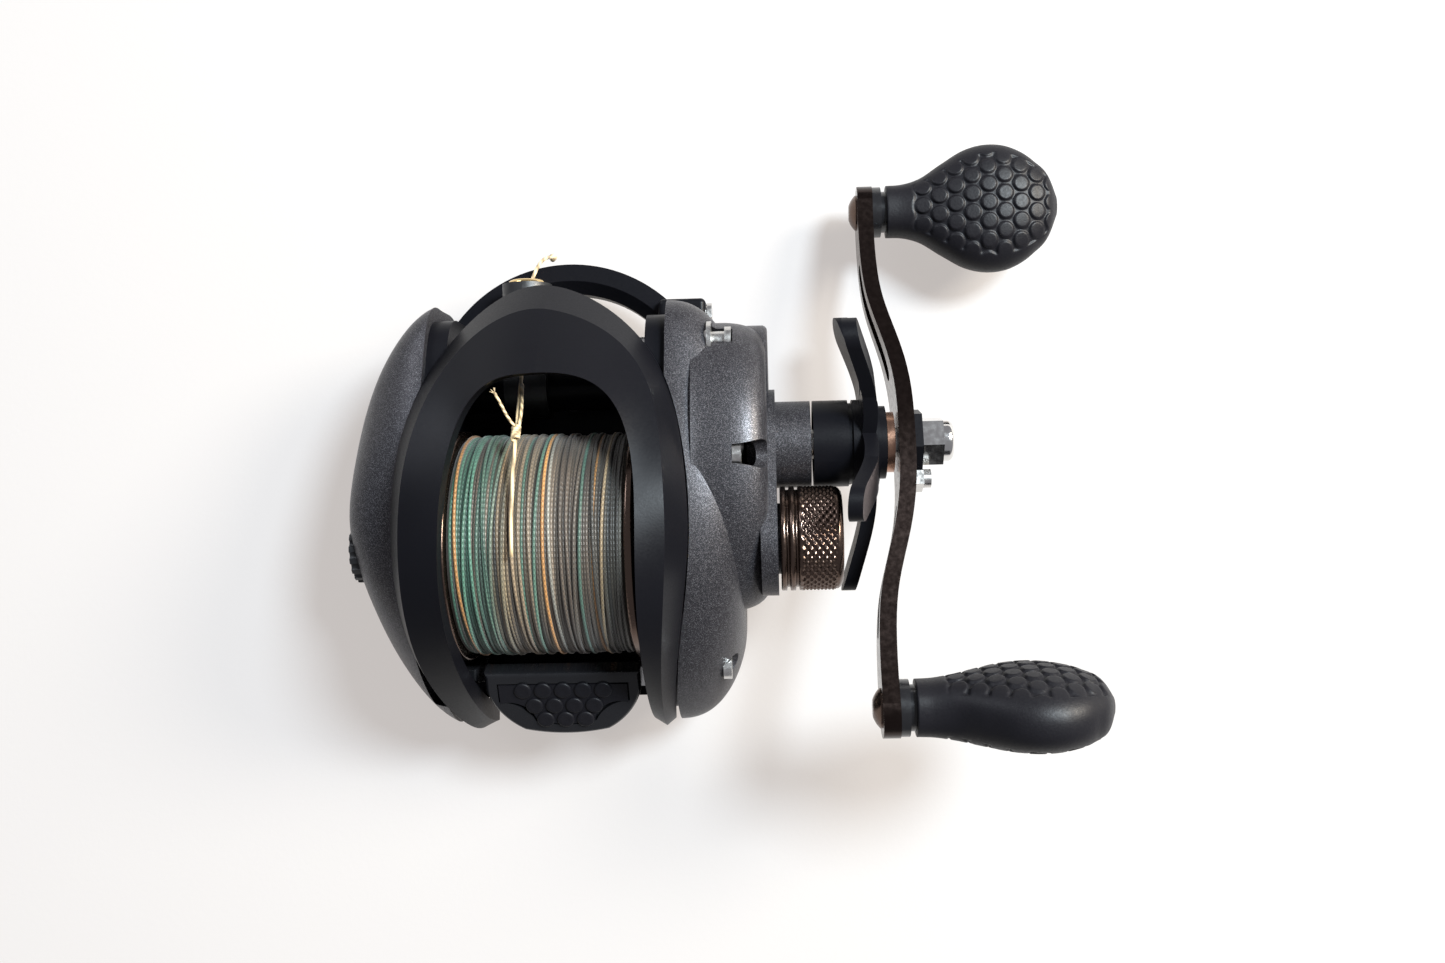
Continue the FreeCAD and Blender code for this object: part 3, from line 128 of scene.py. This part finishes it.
def rings_along(path, radius, sides):
    """Rings of points round a path, without twist, as an array rows x sides x 3."""
    path = np.asarray(path, float)
    tangents = np.gradient(path, axis=0)
    tangents /= np.linalg.norm(tangents, axis=1)[:, None]
    normal = np.cross(tangents[0], [0.3, 0.2, 0.9])
    normal /= np.linalg.norm(normal)
    rings = []
    for point, tangent in zip(path, tangents):
        normal = normal - tangent * np.dot(normal, tangent)
        normal /= np.linalg.norm(normal)
        side = np.cross(tangent, normal)
        turns = [2 * math.pi * index / sides for index in range(sides)]
        rings.append([point + radius * (math.cos(turn) * normal + math.sin(turn) * side)
                      for turn in turns])
    return np.array(rings)


def tube_along(name, path, radius, sides=8):
    rings = rings_along(path, radius, sides)
    rows = len(rings)
    faces = grid_faces(rows, sides, True)
    faces.append(tuple(range(sides))[::-1])
    faces.append(tuple((rows - 1) * sides + index for index in range(sides)))
    return mesh_object(name, rings.reshape(-1, 3), faces)


def nurbs_points(name, route, resolution=12):
    """Points read from a smooth NURBS line that has the route as its control points."""
    curve = bpy.data.curves.new(name, "CURVE")
    curve.dimensions, curve.resolution_u = "3D", resolution
    spline = curve.splines.new("NURBS")
    spline.points.add(len(route) - 1)
    for point, place in zip(spline.points, route):
        point.co = (*place, 1.0)
    spline.order_u = 3
    spline.use_endpoint_u = True
    carrier = bpy.data.objects.new(name, curve)
    bpy.context.scene.collection.objects.link(carrier)
    mesh = bpy.data.meshes.new_from_object(carrier)
    points = [vertex.co.copy() for vertex in mesh.vertices]
    bpy.data.objects.remove(carrier)
    bpy.data.meshes.remove(mesh)
    return points


# ---------------------------------------------------------------- the braid's free end

LEADER_ROUTE = (
    (-0.0031, -0.0010, 0.0449), (-0.0032, 0.0080, 0.0435), (-0.0031, 0.0174, 0.0394),
    (-0.0036, 0.0252, 0.0324), (-0.0046, 0.0316, 0.0246), (-0.0051, 0.0364, 0.0191),
    (-0.0050, 0.0418, 0.0177), (-0.0040, 0.0460, 0.0156), (-0.0028, 0.0486, 0.0124),
    (-0.0024, 0.0490, 0.0084),
)
LEADER_RADIUS = 0.3 * MM
KNOT_AT = (-2.4 * MM, 49.0 * MM, 8.4 * MM)


def ball(name, centre, radius, squash=1.0, rows=10, columns=14):
    points, faces = [], []
    for row in range(rows + 1):
        polar = math.pi * row / rows
        for column in range(columns):
            turn = 2 * math.pi * column / columns
            bump = 1 + 0.14 * math.sin(3 * turn + 4 * polar)
            points.append((
                centre[0] + radius * bump * math.sin(polar) * math.cos(turn),
                centre[1] + radius * bump * math.sin(polar) * math.sin(turn),
                centre[2] + radius * squash * math.cos(polar)))
    return mesh_object(name, points, grid_faces(rows + 1, columns, True))


def add_leader():
    points = nurbs_points("leader_line", LEADER_ROUTE)
    leader = tube_along("leader_braid", points, LEADER_RADIUS)
    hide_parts("line_leader")
    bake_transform(leader)
    knot = ball("leader_knot", KNOT_AT, 0.7 * MM)
    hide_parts("line_knot")
    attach(knot, "line_guide")
    return [leader, knot]


leader_pieces = add_leader()


# ---------------------------------------------------------------- the joining knot behind the hood

JOIN_AT = Vector((-3.12, 17.2, 39.45)) * MM
JOIN_ALONG = Vector((-0.03, 0.78, -0.63)).normalized()
TAG_ROUTE = ((-3.3, 18.2, 39.2), (-4.3, 19.6, 39.8), (-5.0, 21.4, 40.3), (-6.0, 23.2, 40.2))
DOUBLED_ROUTE = ((-2.75, 18.0, 39.05), (-2.6, 20.2, 37.6), (-2.9, 22.8, 35.2), (-3.35, 25.0, 32.6))
WRAP_RADIUS, DOUBLED_RADIUS, TAG_RADIUS, FRAY_RADIUS = 0.27 * MM, 0.26 * MM, 0.24 * MM, 0.08 * MM
FRAY_LENGTH = 1.1
FRAY_LEANS = ((-0.5, 0.5, 0.3), (-0.2, 0.8, -0.2), (-0.7, 0.2, 0.1), (0.1, 0.7, 0.4))


def wrap_points(turns=5, radius=0.48 * MM, length=2.5 * MM, steps=18):
    """The wraps of the knot, round the line."""
    first = JOIN_ALONG.cross(Vector((1, 0, 0))).normalized()
    second = JOIN_ALONG.cross(first)
    points = []
    for step in range(turns * steps + 1):
        turn = 2 * math.pi * step / steps
        middle = JOIN_AT + JOIN_ALONG * (length * (step / (turns * steps) - 0.5))
        points.append(middle + radius * (math.cos(turn) * first + math.sin(turn) * second))
    return points


def in_metres(route):
    return [tuple(value * MM for value in point) for point in route]


def add_join():
    """The wraps, the doubled strand ahead of them and the cut end that stands off to the side."""
    doubled = nurbs_points("join_doubled_line", in_metres(DOUBLED_ROUTE))
    tag_line = nurbs_points("join_tag_line", in_metres(TAG_ROUTE))
    pieces = [tube_along("join_wraps", wrap_points(), WRAP_RADIUS),
              tube_along("join_doubled", doubled, DOUBLED_RADIUS),
              tube_along("join_tag", tag_line, TAG_RADIUS)]
    tag = Vector(in_metres(TAG_ROUTE)[-1])
    for index, lean in enumerate(FRAY_LEANS):
        tip = tag + Vector(lean) * FRAY_LENGTH * MM
        pieces.append(tube_along(f"join_fray_{index}", [tag, tag.lerp(tip, 0.5), tip], FRAY_RADIUS, 5))
    for piece in pieces:
        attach(piece, "frame")
    return pieces


leader_pieces += add_join()


# ---------------------------------------------------------------- finishes

def new_material(name):
    material = bpy.data.materials.new(name)
    material.use_nodes = True
    tree = material.node_tree
    shader = tree.nodes["Principled BSDF"]
    return material, tree, shader


def object_coordinates(tree):
    return tree.nodes.new("ShaderNodeTexCoord").outputs["Object"]


def noise_node(tree, scale, detail=3.0, rough=0.55):
    node = tree.nodes.new("ShaderNodeTexNoise")
    node.inputs["Scale"].default_value = scale
    node.inputs["Detail"].default_value = detail
    node.inputs["Roughness"].default_value = rough
    tree.links.new(object_coordinates(tree), node.inputs["Vector"])
    return node.outputs["Fac"]


def ramp_node(tree, value, low, high, stops=(0.3, 0.7)):
    node = tree.nodes.new("ShaderNodeMapRange")
    node.inputs["From Min"].default_value, node.inputs["From Max"].default_value = stops
    node.inputs["To Min"].default_value, node.inputs["To Max"].default_value = low, high
    tree.links.new(value, node.inputs["Value"])
    return node.outputs["Result"]


def mixed_colour(tree, factor, first, second):
    node = tree.nodes.new("ShaderNodeMix")
    node.data_type = "RGBA"
    node.inputs[6].default_value = (*first, 1)
    node.inputs[7].default_value = (*second, 1)
    tree.links.new(factor, node.inputs[0])
    return node.outputs[2]


def bump_node(tree, shader, height, distance, strength=1.0):
    node = tree.nodes.new("ShaderNodeBump")
    node.inputs["Distance"].default_value = distance
    node.inputs["Strength"].default_value = strength
    tree.links.new(height, node.inputs["Height"])
    tree.links.new(node.outputs["Normal"], shader.inputs["Normal"])


def surface(name, colour, rough, metal=0.0, spread=0.08, tone=0.12, grain=900.0, bump=0.00001, coat=0.0,
            specular=0.5):
    """A finish whose tone, gloss and fine relief all vary a little over the piece."""
    material, tree, shader = new_material(name)
    broad = noise_node(tree, 90.0)
    fine = noise_node(tree, grain, 5.0)
    darker = tuple(channel * (1 - tone) for channel in colour)
    lighter = tuple(min(1.0, channel * (1 + tone)) for channel in colour)
    tree.links.new(mixed_colour(tree, broad, darker, lighter), shader.inputs["Base Color"])
    gloss = ramp_node(tree, fine, max(rough - spread, 0.03), rough + spread)
    tree.links.new(gloss, shader.inputs["Roughness"])
    shader.inputs["Metallic"].default_value = metal
    shader.inputs["Coat Weight"].default_value = coat
    shader.inputs["Coat Roughness"].default_value = 0.12
    shader.inputs["Specular IOR Level"].default_value = specular
    bump_node(tree, shader, fine, bump)
    return material


def flake_paint(name, colour, flake, scale, rough, coat, share=0.82, bump=0.000012):
    """Dark paint with fine metal flake under a thin lacquer."""
    material, tree, shader = new_material(name)
    cells = tree.nodes.new("ShaderNodeTexVoronoi")
    cells.inputs["Scale"].default_value = scale
    tree.links.new(object_coordinates(tree), cells.inputs["Vector"])
    parts = tree.nodes.new("ShaderNodeSeparateColor")
    tree.links.new(cells.outputs["Color"], parts.inputs["Color"])
    bright = ramp_node(tree, parts.outputs["Red"], 0.0, 1.0, (share, 1.0))
    tree.links.new(mixed_colour(tree, bright, colour, flake), shader.inputs["Base Color"])
    gloss = ramp_node(tree, parts.outputs["Green"], rough - 0.08, rough + 0.1)
    tree.links.new(gloss, shader.inputs["Roughness"])
    shader.inputs["Metallic"].default_value = 0.5
    shader.inputs["Specular IOR Level"].default_value = 0.3
    shader.inputs["Coat Weight"].default_value = coat
    shader.inputs["Coat Roughness"].default_value = 0.3
    bump_node(tree, shader, parts.outputs["Blue"], bump)
    return material


def braid_finish():
    """Strand colours from the mesh, darkened between the carriers of the weave as painted shade in the
    grooves and lifted a little on the carriers' crowns as painted light.
    """
    material, tree, shader = new_material("braid")
    tint = tree.nodes.new("ShaderNodeAttribute")
    tint.attribute_name = "tint"
    weave = tree.nodes.new("ShaderNodeAttribute")
    weave.attribute_name = "weave"
    mix = tree.nodes.new("ShaderNodeMix")
    mix.data_type, mix.blend_type = "RGBA", "MULTIPLY"
    mix.inputs[0].default_value = 1.0
    tree.links.new(tint.outputs["Color"], mix.inputs[6])
    # painted shade: the weave value multiplies the strand colour down to about a quarter in the grooves
    # between carriers and up a little on their crowns
    painted_weave_shade = mixed_colour(tree, weave.outputs["Fac"], (0.26, 0.25, 0.23), (1.12, 1.12, 1.1))
    tree.links.new(painted_weave_shade, mix.inputs[7])
    tree.links.new(mix.outputs[2], shader.inputs["Base Color"])
    shader.inputs["Roughness"].default_value = 0.5
    shader.inputs["Specular IOR Level"].default_value = 0.45
    shader.inputs["Sheen Weight"].default_value = 0.15
    bump_node(tree, shader, weave.outputs["Fac"], 0.00008, 0.7)
    return material


FINISH = {
    "black_satin": surface("black_satin", (0.0034, 0.0034, 0.0046), 0.36, spread=0.05, tone=0.15,
        grain=3200, bump=0.000008, specular=0.09),
    "gunmetal": flake_paint("gunmetal", (0.016, 0.0152, 0.0178), flake=(0.125, 0.12, 0.13), scale=13500,
        rough=0.4, coat=0.05, share=0.7, bump=0.000008),
    "black_gloss": surface("black_gloss", (0.006, 0.006, 0.007), 0.24, spread=0.05, tone=0.1, grain=700,
        bump=0.000005, coat=0.2, specular=0.35),
    "rubber_black": surface("rubber_black", (0.005, 0.0047, 0.0062), 0.46, spread=0.06, tone=0.15,
        grain=2600, bump=0.000030, specular=0.17),
    "black_plastic": surface("black_plastic", (0.007, 0.007, 0.008), 0.45, tone=0.15, grain=1500,
        bump=0.000020),
    "bronze": surface("bronze", (0.115, 0.08, 0.064), 0.24, metal=1.0, spread=0.06, grain=1500,
        bump=0.000006),
    "bronze_dark": surface("bronze_dark", (0.034, 0.024, 0.021), 0.22, metal=1.0, spread=0.05,
        grain=1200, bump=0.000004),
    "copper_tint": surface("copper_tint", (0.4, 0.23, 0.16), 0.25, metal=1.0, spread=0.05, tone=0.08,
        grain=1500, bump=0.000005),
    "bright_steel": surface("bright_steel", (0.6, 0.59, 0.57), 0.28, metal=1.0, tone=0.08, grain=1400,
        bump=0.000006),
    "chrome": surface("chrome", (0.74, 0.73, 0.71), 0.14, metal=1.0, spread=0.05, tone=0.06, grain=1200,
        bump=0.000004),
    "brass": surface("brass", (0.7, 0.5, 0.22), 0.28, metal=1.0, spread=0.06, tone=0.1, grain=1500,
        bump=0.000006),
    "alloy": surface("alloy", (0.52, 0.52, 0.53), 0.34, metal=1.0, spread=0.06, tone=0.08, grain=1500,
        bump=0.000008),
    "carbon": surface("carbon", (0.03, 0.03, 0.03), 0.6, spread=0.05, tone=0.3, grain=3000,
        bump=0.000030),
    "gold_ring": surface("gold_ring", (0.8, 0.58, 0.27), 0.16, metal=1.0, spread=0.05, tone=0.08,
        grain=1400, bump=0.000004),
    "magnet": surface("magnet", (0.55, 0.55, 0.54), 0.25, metal=1.0, spread=0.05, tone=0.08, grain=1500,
        bump=0.000004),
    "braid": braid_finish(),
}


def finish_piece(piece, slot):
    piece.data.materials.clear()
    piece.data.materials.append(FINISH[slot])


def finish_cad_nodes():
    for entry in frame["record"]["subparts"]:
        node = NODES[entry["node"]]
        node.data.materials.clear()
        node.data.materials.append(FINISH[entry["material_slot"]])


finish_cad_nodes()
# the tube's end shows as a thin line between the gear cover and the star, dark like both of them
NODES["clutch_tube"].data.materials[0] = FINISH["black_satin"]
SOFT_EDGED = {
    "hood": 0.25, "gear_side_cover": 0.1, "palm_side_cover": 0.2, "frame": 0.2, "handle_arm": 0.35,
    "star_drag": 0.3, "thumb_bar": 0.15, "knob_collars": 0.15,
    "line_guide_carriage": 0.15, "cover_stud": 0.1, "worm_guard": 0.12,
}


def soften_edges():
    for name, width in SOFT_EDGED.items():
        bevel = NODES[name].modifiers.new("edge", "BEVEL")
        bevel.width, bevel.segments, bevel.limit_method = width * MM, 2, "ANGLE"
        bevel.angle_limit = math.radians(38)
        bevel.harden_normals = False
        bevel.use_clamp_overlap = True


# ---------------------------------------------------------------- the wound braid

SPOOL_AXIS_Z = 26.0
PALETTE = (
    (0.00, (0.034, 0.088, 0.060)), (0.12, (0.048, 0.122, 0.088)), (0.24, (0.085, 0.122, 0.092)),
    (0.34, (0.160, 0.112, 0.066)), (0.46, (0.135, 0.104, 0.072)), (0.58, (0.120, 0.092, 0.068)),
    (0.70, (0.074, 0.054, 0.040)), (0.84, (0.044, 0.036, 0.026)), (1.00, (0.036, 0.031, 0.022)),
)
ACCENTS = ((0.270, 0.130, 0.040), (0.052, 0.108, 0.080), (0.200, 0.190, 0.165), (0.030, 0.027, 0.022),
           (0.200, 0.142, 0.080), (0.090, 0.070, 0.052))


def palette_colour(share):
    for (low, first), (high, second) in zip(PALETTE, PALETTE[1:]):
        if share <= high:
            part = (share - low) / (high - low)
            return [a + (b - a) * part for a, b in zip(first, second)]
    return list(PALETTE[-1][1])


def strand(rng, x, radius, half_width, lean, phase, colour):
    """One turn of flattened braid round the spool: points, tints and weave, row by row round the turn."""
    steps, sides, weave_turns = 520, 6, 130
    points, tints, weave = [], [], []
    drift = [rng.uniform(-0.05, 0.05) for _ in range(3)]
    patch = rng.uniform(0, 2 * math.pi)
    for step in range(steps):
        turn = 2 * math.pi * step / steps
        wander = (drift[0] * math.sin(2 * turn + patch) + drift[1] * math.sin(5 * turn)
                  + drift[2] * math.cos(3 * turn))
        middle = x + lean * math.sin(turn - phase) + wander
        lift = 0.035 * math.sin(4 * turn + patch) + 0.02 * math.sin(11 * turn)
        light = 1.0 + 0.18 * math.sin(3 * turn + 2 * patch)
        for side in range(sides):
            across = 2 * math.pi * side / sides
            reach = radius + lift + 0.23 * math.sin(across)
            points.append(((middle + half_width * math.cos(across)) * MM,
                           reach * math.sin(turn) * MM,
                           (SPOOL_AXIS_Z + reach * math.cos(turn)) * MM))
            tints.append([channel * light for channel in colour])
            # this weave value gives the braid its relief and its painted shade between the carriers
            weave.append(0.5 + 0.5 * math.sin(weave_turns * turn + 2 * across))
    return points, tints, weave, steps, sides


def ring_faces(steps, sides, start):
    faces = grid_faces(steps, sides, True, start)
    last = start + (steps - 1) * sides
    faces += [(last + side, last + (side + 1) % sides, start + (side + 1) % sides, start + side)
              for side in range(sides)]
    return faces


def add_wound_braid():
    rng = random.Random(11)
    points, tints, weave, faces = [], [], [], []

    def add(*shape):
        more, more_tints, more_weave, steps, sides = strand(rng, *shape)
        faces.extend(ring_faces(steps, sides, len(points)))
        points.extend(more)
        tints.extend(more_tints)
        weave.extend(more_weave)

    count = 58
    for index in range(count):
        share = (index + 0.5) / count
        colour = palette_colour(min(1.0, max(0.0, share + rng.uniform(-0.07, 0.07))))
        if rng.random() < 0.26:
            colour = rng.choice(ACCENTS)
        shade = rng.uniform(0.5, 1.35)
        add(-12.75 + 25.5 * share, 17.02 + rng.uniform(-0.12, 0.1), 0.275, rng.uniform(-0.1, 0.1), 0.0,
            [channel * shade for channel in colour])
    for index in range(21):
        share = (index + rng.uniform(0.1, 0.9)) / 21
        near = palette_colour(share) if rng.random() < 0.55 else list(rng.choice(ACCENTS))
        lean = rng.uniform(0.25, 0.9) * rng.choice((-1, 1))
        x = min(max(-12.4 + 24.8 * share, -12.3 + abs(lean)), 12.3 - abs(lean))
        shade = rng.uniform(0.7, 1.5)
        add(x, 17.33 + rng.uniform(-0.04, 0.05), 0.25, lean, rng.uniform(-0.6, 0.6),
            [channel * shade for channel in near])
    core_start = len(points)
    for x in (-13.1, 13.1):
        for radius in (10.2, 16.95):
            for step in range(96):
                turn = 2 * math.pi * step / 96
                points.append((x * MM, radius * math.sin(turn) * MM,
                               (SPOOL_AXIS_Z + radius * math.cos(turn)) * MM))
                tints.append([0.05, 0.045, 0.035])
                weave.append(0.5)
    order = (0, 1, 3, 2, 0)
    for first, second in zip(order, order[1:]):
        for step in range(96):
            after = (step + 1) % 96
            a, b = core_start + first * 96, core_start + second * 96
            faces.append((a + step, a + after, b + after, b + step))
    braid = mesh_object("wound_braid", points, faces)
    colour_points(braid, tints)
    float_points(braid, weave, "weave")
    finish_piece(braid, "braid")
    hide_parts("line_pack")
    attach(braid, "spool")


def paint_free_end():
    for piece in leader_pieces:
        count = len(piece.data.vertices)
        colour_points(piece, [[0.60, 0.44, 0.25]] * count)
        # the same weave value sets the relief and the painted shade between the carriers on the free end
        float_points(piece, [0.5 + 0.5 * math.sin(0.9 * index) for index in range(count)], "weave")
        finish_piece(piece, "braid")


# ---------------------------------------------------------------- rubber grips

KNOBS = (("front_knob", 55.41, 6.29, 0.0), ("rear_knob", -25.41, 35.71, 98.0))
KNOB_START = 55.6
KNOB_SECTIONS = (
    (0.0, 4.4, 4.2), (2.5, 4.5, 4.3), (5.5, 5.3, 4.7), (9.5, 7.8, 5.3), (13.5, 10.1, 5.8), (17.4, 10.95, 6.0),
    (21.5, 10.3, 5.7), (25.2, 8.0, 4.9), (28.0, 4.8, 3.4), (29.2, 1.8, 1.5),
)
SCALE_PITCH = 3.15
CROWDING = 0.375  # draws the columns of points together on the two broad faces


def smooth_between(table, at):
    """A table of (place, value) joined by a smooth curve through its points."""
    places = [place for place, _ in table]
    values = [value for _, value in table]
    slopes = np.gradient(values, places)
    index = min(max(int(np.searchsorted(places, at)) - 1, 0), len(places) - 2)
    width = places[index + 1] - places[index]
    share = (at - places[index]) / width
    square, cube = share * share, share ** 3
    return ((2 * cube - 3 * square + 1) * values[index] + (cube - 2 * square + share) * width * slopes[index]
            + (3 * square - 2 * cube) * values[index + 1] + (cube - square) * width * slopes[index + 1])


def scale_relief(along, across):
    """Height, 0 to 1, of the overlapping round scales at a place on the grip's broad face."""
    best = 0.0
    row_step = SCALE_PITCH * 0.87
    row = round((along - 6.0) / row_step)
    for near in (row - 1, row, row + 1):
        centre_x = 6.0 + near * row_step
        shift = 0.5 * SCALE_PITCH if near % 2 else 0.0
        column = round((across - shift) / SCALE_PITCH)
        for beside in (column - 1, column, column + 1):
            distance = math.hypot(along - centre_x, across - shift - beside * SCALE_PITCH)
            best = max(best, min(1.0, max(0.0, (0.47 * SCALE_PITCH - distance) / 0.28)))
    return best * best * (3 - 2 * best)


def grip_point(along, turn, half_wide, half_thick):
    """A rounded-box section, with the scales standing in a shallow panel on both broad faces."""
    power = 0.78
    cosine, sine = math.cos(turn), math.sin(turn)
    across = half_wide * math.copysign(abs(cosine) ** power, cosine)
    height = half_thick * math.copysign(abs(sine) ** power, sine)
    reach = math.hypot(across / half_wide, height / half_thick)
    limit = 1.0 / max(reach, 1e-6) ** 0.35
    across, height = across * limit, height * limit
    border = min(1.0, max(0.0, (0.80 * half_wide - abs(across)) / 0.5))
    ends = min(1.0, max(0.0, (along - 4.2) / 0.8)) * min(1.0, max(0.0, (27.6 - along) / 0.8))
    panel = border * ends * min(1.0, abs(sine) * 3)
    sunk = panel * (0.42 - 0.42 * scale_relief(along, across))
    return across, height - math.copysign(sunk, sine) * (1 if panel > 0 else 0)


def grip_shape():
    rows, columns = 150, 240
    points = []
    wide = [(along, half) for along, half, _ in KNOB_SECTIONS]
    thick = [(along, half) for along, _, half in KNOB_SECTIONS]
    for row in range(rows):
        along = 29.2 * row / (rows - 1)
        half_wide, half_thick = smooth_between(wide, along), smooth_between(thick, along)
        for column in range(columns):
            even = 2 * math.pi * column / columns
            turn = even + CROWDING * math.sin(2 * even)
            across, height = grip_point(along, turn, half_wide, half_thick)
            points.append((KNOB_START + along, across, height))
    faces = grid_faces(rows, columns, True)
    faces.append(tuple(range(columns))[::-1])
    faces.append(tuple((rows - 1) * columns + index for index in range(columns)))
    return points, faces


def add_grips():
    points, faces = grip_shape()
    for name, place_y, place_z, turn in KNOBS:
        cosine, sine = math.cos(math.radians(turn)), math.sin(math.radians(turn))
        placed = [(x * MM, (place_y + cosine * y - sine * z) * MM, (place_z + sine * y + cosine * z) * MM)
                  for x, y, z in points]
        grip = mesh_object(f"{name}_grip", placed, faces)
        finish_piece(grip, "rubber_black")
        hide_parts(name)
        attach(grip, name)


# ---------------------------------------------------------------- knurled tension cap

CAP_PROFILE = (
    (0.0, 5.7), (0.0, 8.0), (0.15, 8.25), (0.85, 8.25), (0.95, 7.7), (1.35, 7.7),
    (1.45, 8.25), (2.25, 8.25), (2.35, 7.7), (2.75, 7.7), (2.85, 8.2), (3.3, 8.25),
)
CAP_START_X = 36.0
KNURL_START, KNURL_END, KNURL_TURNS = 3.5, 8.5, 34
KNURL_PITCH, KNURL_DEPTH = 1.15, 0.38
CAP_END = (
    (8.62, 8.0), (8.8, 8.1), (9.2, 7.85), (9.65, 7.3), (9.7, 7.1), (9.6, 6.4), (9.5, 6.2), (9.5, 0.4),
)


def add_tension_cap():
    columns = 272
    rows = [(x, radius, 0.0) for x, radius in CAP_PROFILE]
    steps = 34
    rows += [(KNURL_START + (KNURL_END - KNURL_START) * step / steps, 8.28, 1.0) for step in range(steps + 1)]
    rows += [(x, radius, 0.0) for x, radius in CAP_END]
    points = []
    for x, radius, knurled in rows:
        for column in range(columns):
            turn = 2 * math.pi * column / columns
            phase = (x - KNURL_START) * 2 * math.pi / KNURL_PITCH
            ridge = abs(math.sin(0.5 * (KNURL_TURNS * turn + phase)))
            ridge *= abs(math.sin(0.5 * (KNURL_TURNS * turn - phase)))
            reach = radius - knurled * KNURL_DEPTH * (1 - ridge)
            points.append(((CAP_START_X + x) * MM, reach * math.cos(turn) * MM,
                           (SPOOL_AXIS_Z + reach * math.sin(turn)) * MM))
    faces = grid_faces(len(rows), columns, True)
    faces.append(tuple((len(rows) - 1) * columns + index for index in range(columns)))
    cap = mesh_object("tension_cap", points, faces)
    finish_piece(cap, "bronze")
    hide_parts("tension_knob")
    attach(cap, "tension_knob")


# ---------------------------------------------------------------- thumb grip pad

PAD_TILT = 24.0
PAD_HINGE = (-20.3, 29.0)
PAD_ROWS = ((-3.1, (-6.4, -3.2, 0.0, 3.2, 6.4)), (-5.9, (-4.8, -1.6, 1.6, 4.8)), (-8.5, (-3.2, 0.0, 3.2)))
PAD_CENTRE_X = 1.0


def add_thumb_scales():
    """Low round scales in staggered rows on the thumb bar's pad."""
    tilt = math.radians(PAD_TILT)
    rings = ((1.42, -0.1), (1.38, 0.22), (1.22, 0.34), (0.7, 0.27), (0.05, 0.25))
    columns = 28
    points, faces = [], []
    for along, places in PAD_ROWS:
        for place in places:
            start = len(points)
            for radius, height in rings:
                for column in range(columns):
                    turn = 2 * math.pi * column / columns
                    back, up = along + radius * math.sin(turn), height + 0.1
                    points.append(((PAD_CENTRE_X + place + radius * math.cos(turn)) * MM,
                                   (PAD_HINGE[0] + back * math.cos(tilt) - up * math.sin(tilt)) * MM,
                                   (PAD_HINGE[1] + back * math.sin(tilt) + up * math.cos(tilt)) * MM))
            faces.extend(grid_faces(len(rings), columns, True, start))
            faces.append(tuple(start + column for column in range(columns))[::-1])
            faces.append(tuple(start + (len(rings) - 1) * columns + column for column in range(columns)))
    scales = mesh_object("thumb_pad_scales", points, faces)
    finish_piece(scales, "rubber_black")
    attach(scales, "thumb_bar")


# ---------------------------------------------------------------- table and light

FLOOR_EDGE_X = 7.5
FLOOR_LEAN = 4.1


def add_floor():
    lean = math.radians(FLOOR_LEAN)
    normal = Vector((math.sin(lean), 0, math.cos(lean)))
    along = Vector((math.cos(lean), 0, -math.sin(lean)))
    centre = Vector((FLOOR_EDGE_X * MM, 0, 0)) - normal * 0.00015
    count, half = 41, 1.6
    points = []
    for row in range(count):
        for column in range(count):
            across = -half + 2 * half * column / (count - 1)
            deep = -half + 2 * half * row / (count - 1)
            points.append(centre + along * across + Vector((0, 1, 0)) * deep)
    floor = mesh_object("table_top", points, grid_faces(count, count, False))
    material, tree, shader = new_material("table_white")
    broad = noise_node(tree, 6.0)
    paper = mixed_colour(tree, broad, (0.170, 0.170, 0.174), (0.182, 0.180, 0.180))
    tree.links.new(paper, shader.inputs["Base Color"])
    shader.inputs["Roughness"].default_value = 0.75
    shader.inputs["Specular IOR Level"].default_value = 0.2
    shader.inputs["Emission Color"].default_value = (1.0, 0.93, 0.885, 1)
    shader.inputs["Emission Strength"].default_value = 0.60
    bump_node(tree, shader, noise_node(tree, 900.0), 0.00002)
    floor.data.materials.append(material)


def add_light(name, place, target, size, power, colour):
    data = bpy.data.lights.new(name, "AREA")
    data.shape, data.size, data.energy, data.color = "DISK", size, power, colour
    light = bpy.data.objects.new(name, data)
    light.location = place
    light.rotation_mode = "QUATERNION"
    light.rotation_quaternion = (Vector(target) - Vector(place)).to_track_quat("-Z", "Y")
    bpy.context.scene.collection.objects.link(light)


def add_lights():
    add_light("window", (0.40, 0.27, 0.62), (0.02, 0.0, 0.0), 0.20, 17.0, (0.82, 0.93, 1.0))
    add_light("warm_side", (0.62, 0.26, 0.44), (0.02, 0.0, 0.0), 0.28, 13.0, (1.0, 0.90, 0.76))
    add_light("cool_fill", (-0.50, 0.55, 0.40), (0.0, 0.0, 0.02), 0.4, 3.0, (0.88, 0.92, 1.0))
    world = bpy.data.worlds.new("room")
    world.use_nodes = True
    background = world.node_tree.nodes["Background"]
    background.inputs["Color"].default_value = (0.93, 0.93, 1.0, 1)
    background.inputs["Strength"].default_value = 0.34
    bpy.context.scene.world = world
    settings = bpy.context.scene.view_settings
    settings.view_transform = "Standard"
    settings.exposure = -0.25


soften_edges()
add_wound_braid()
paint_free_end()
add_grips()
add_tension_cap()
add_thumb_scales()
add_floor()
add_lights()
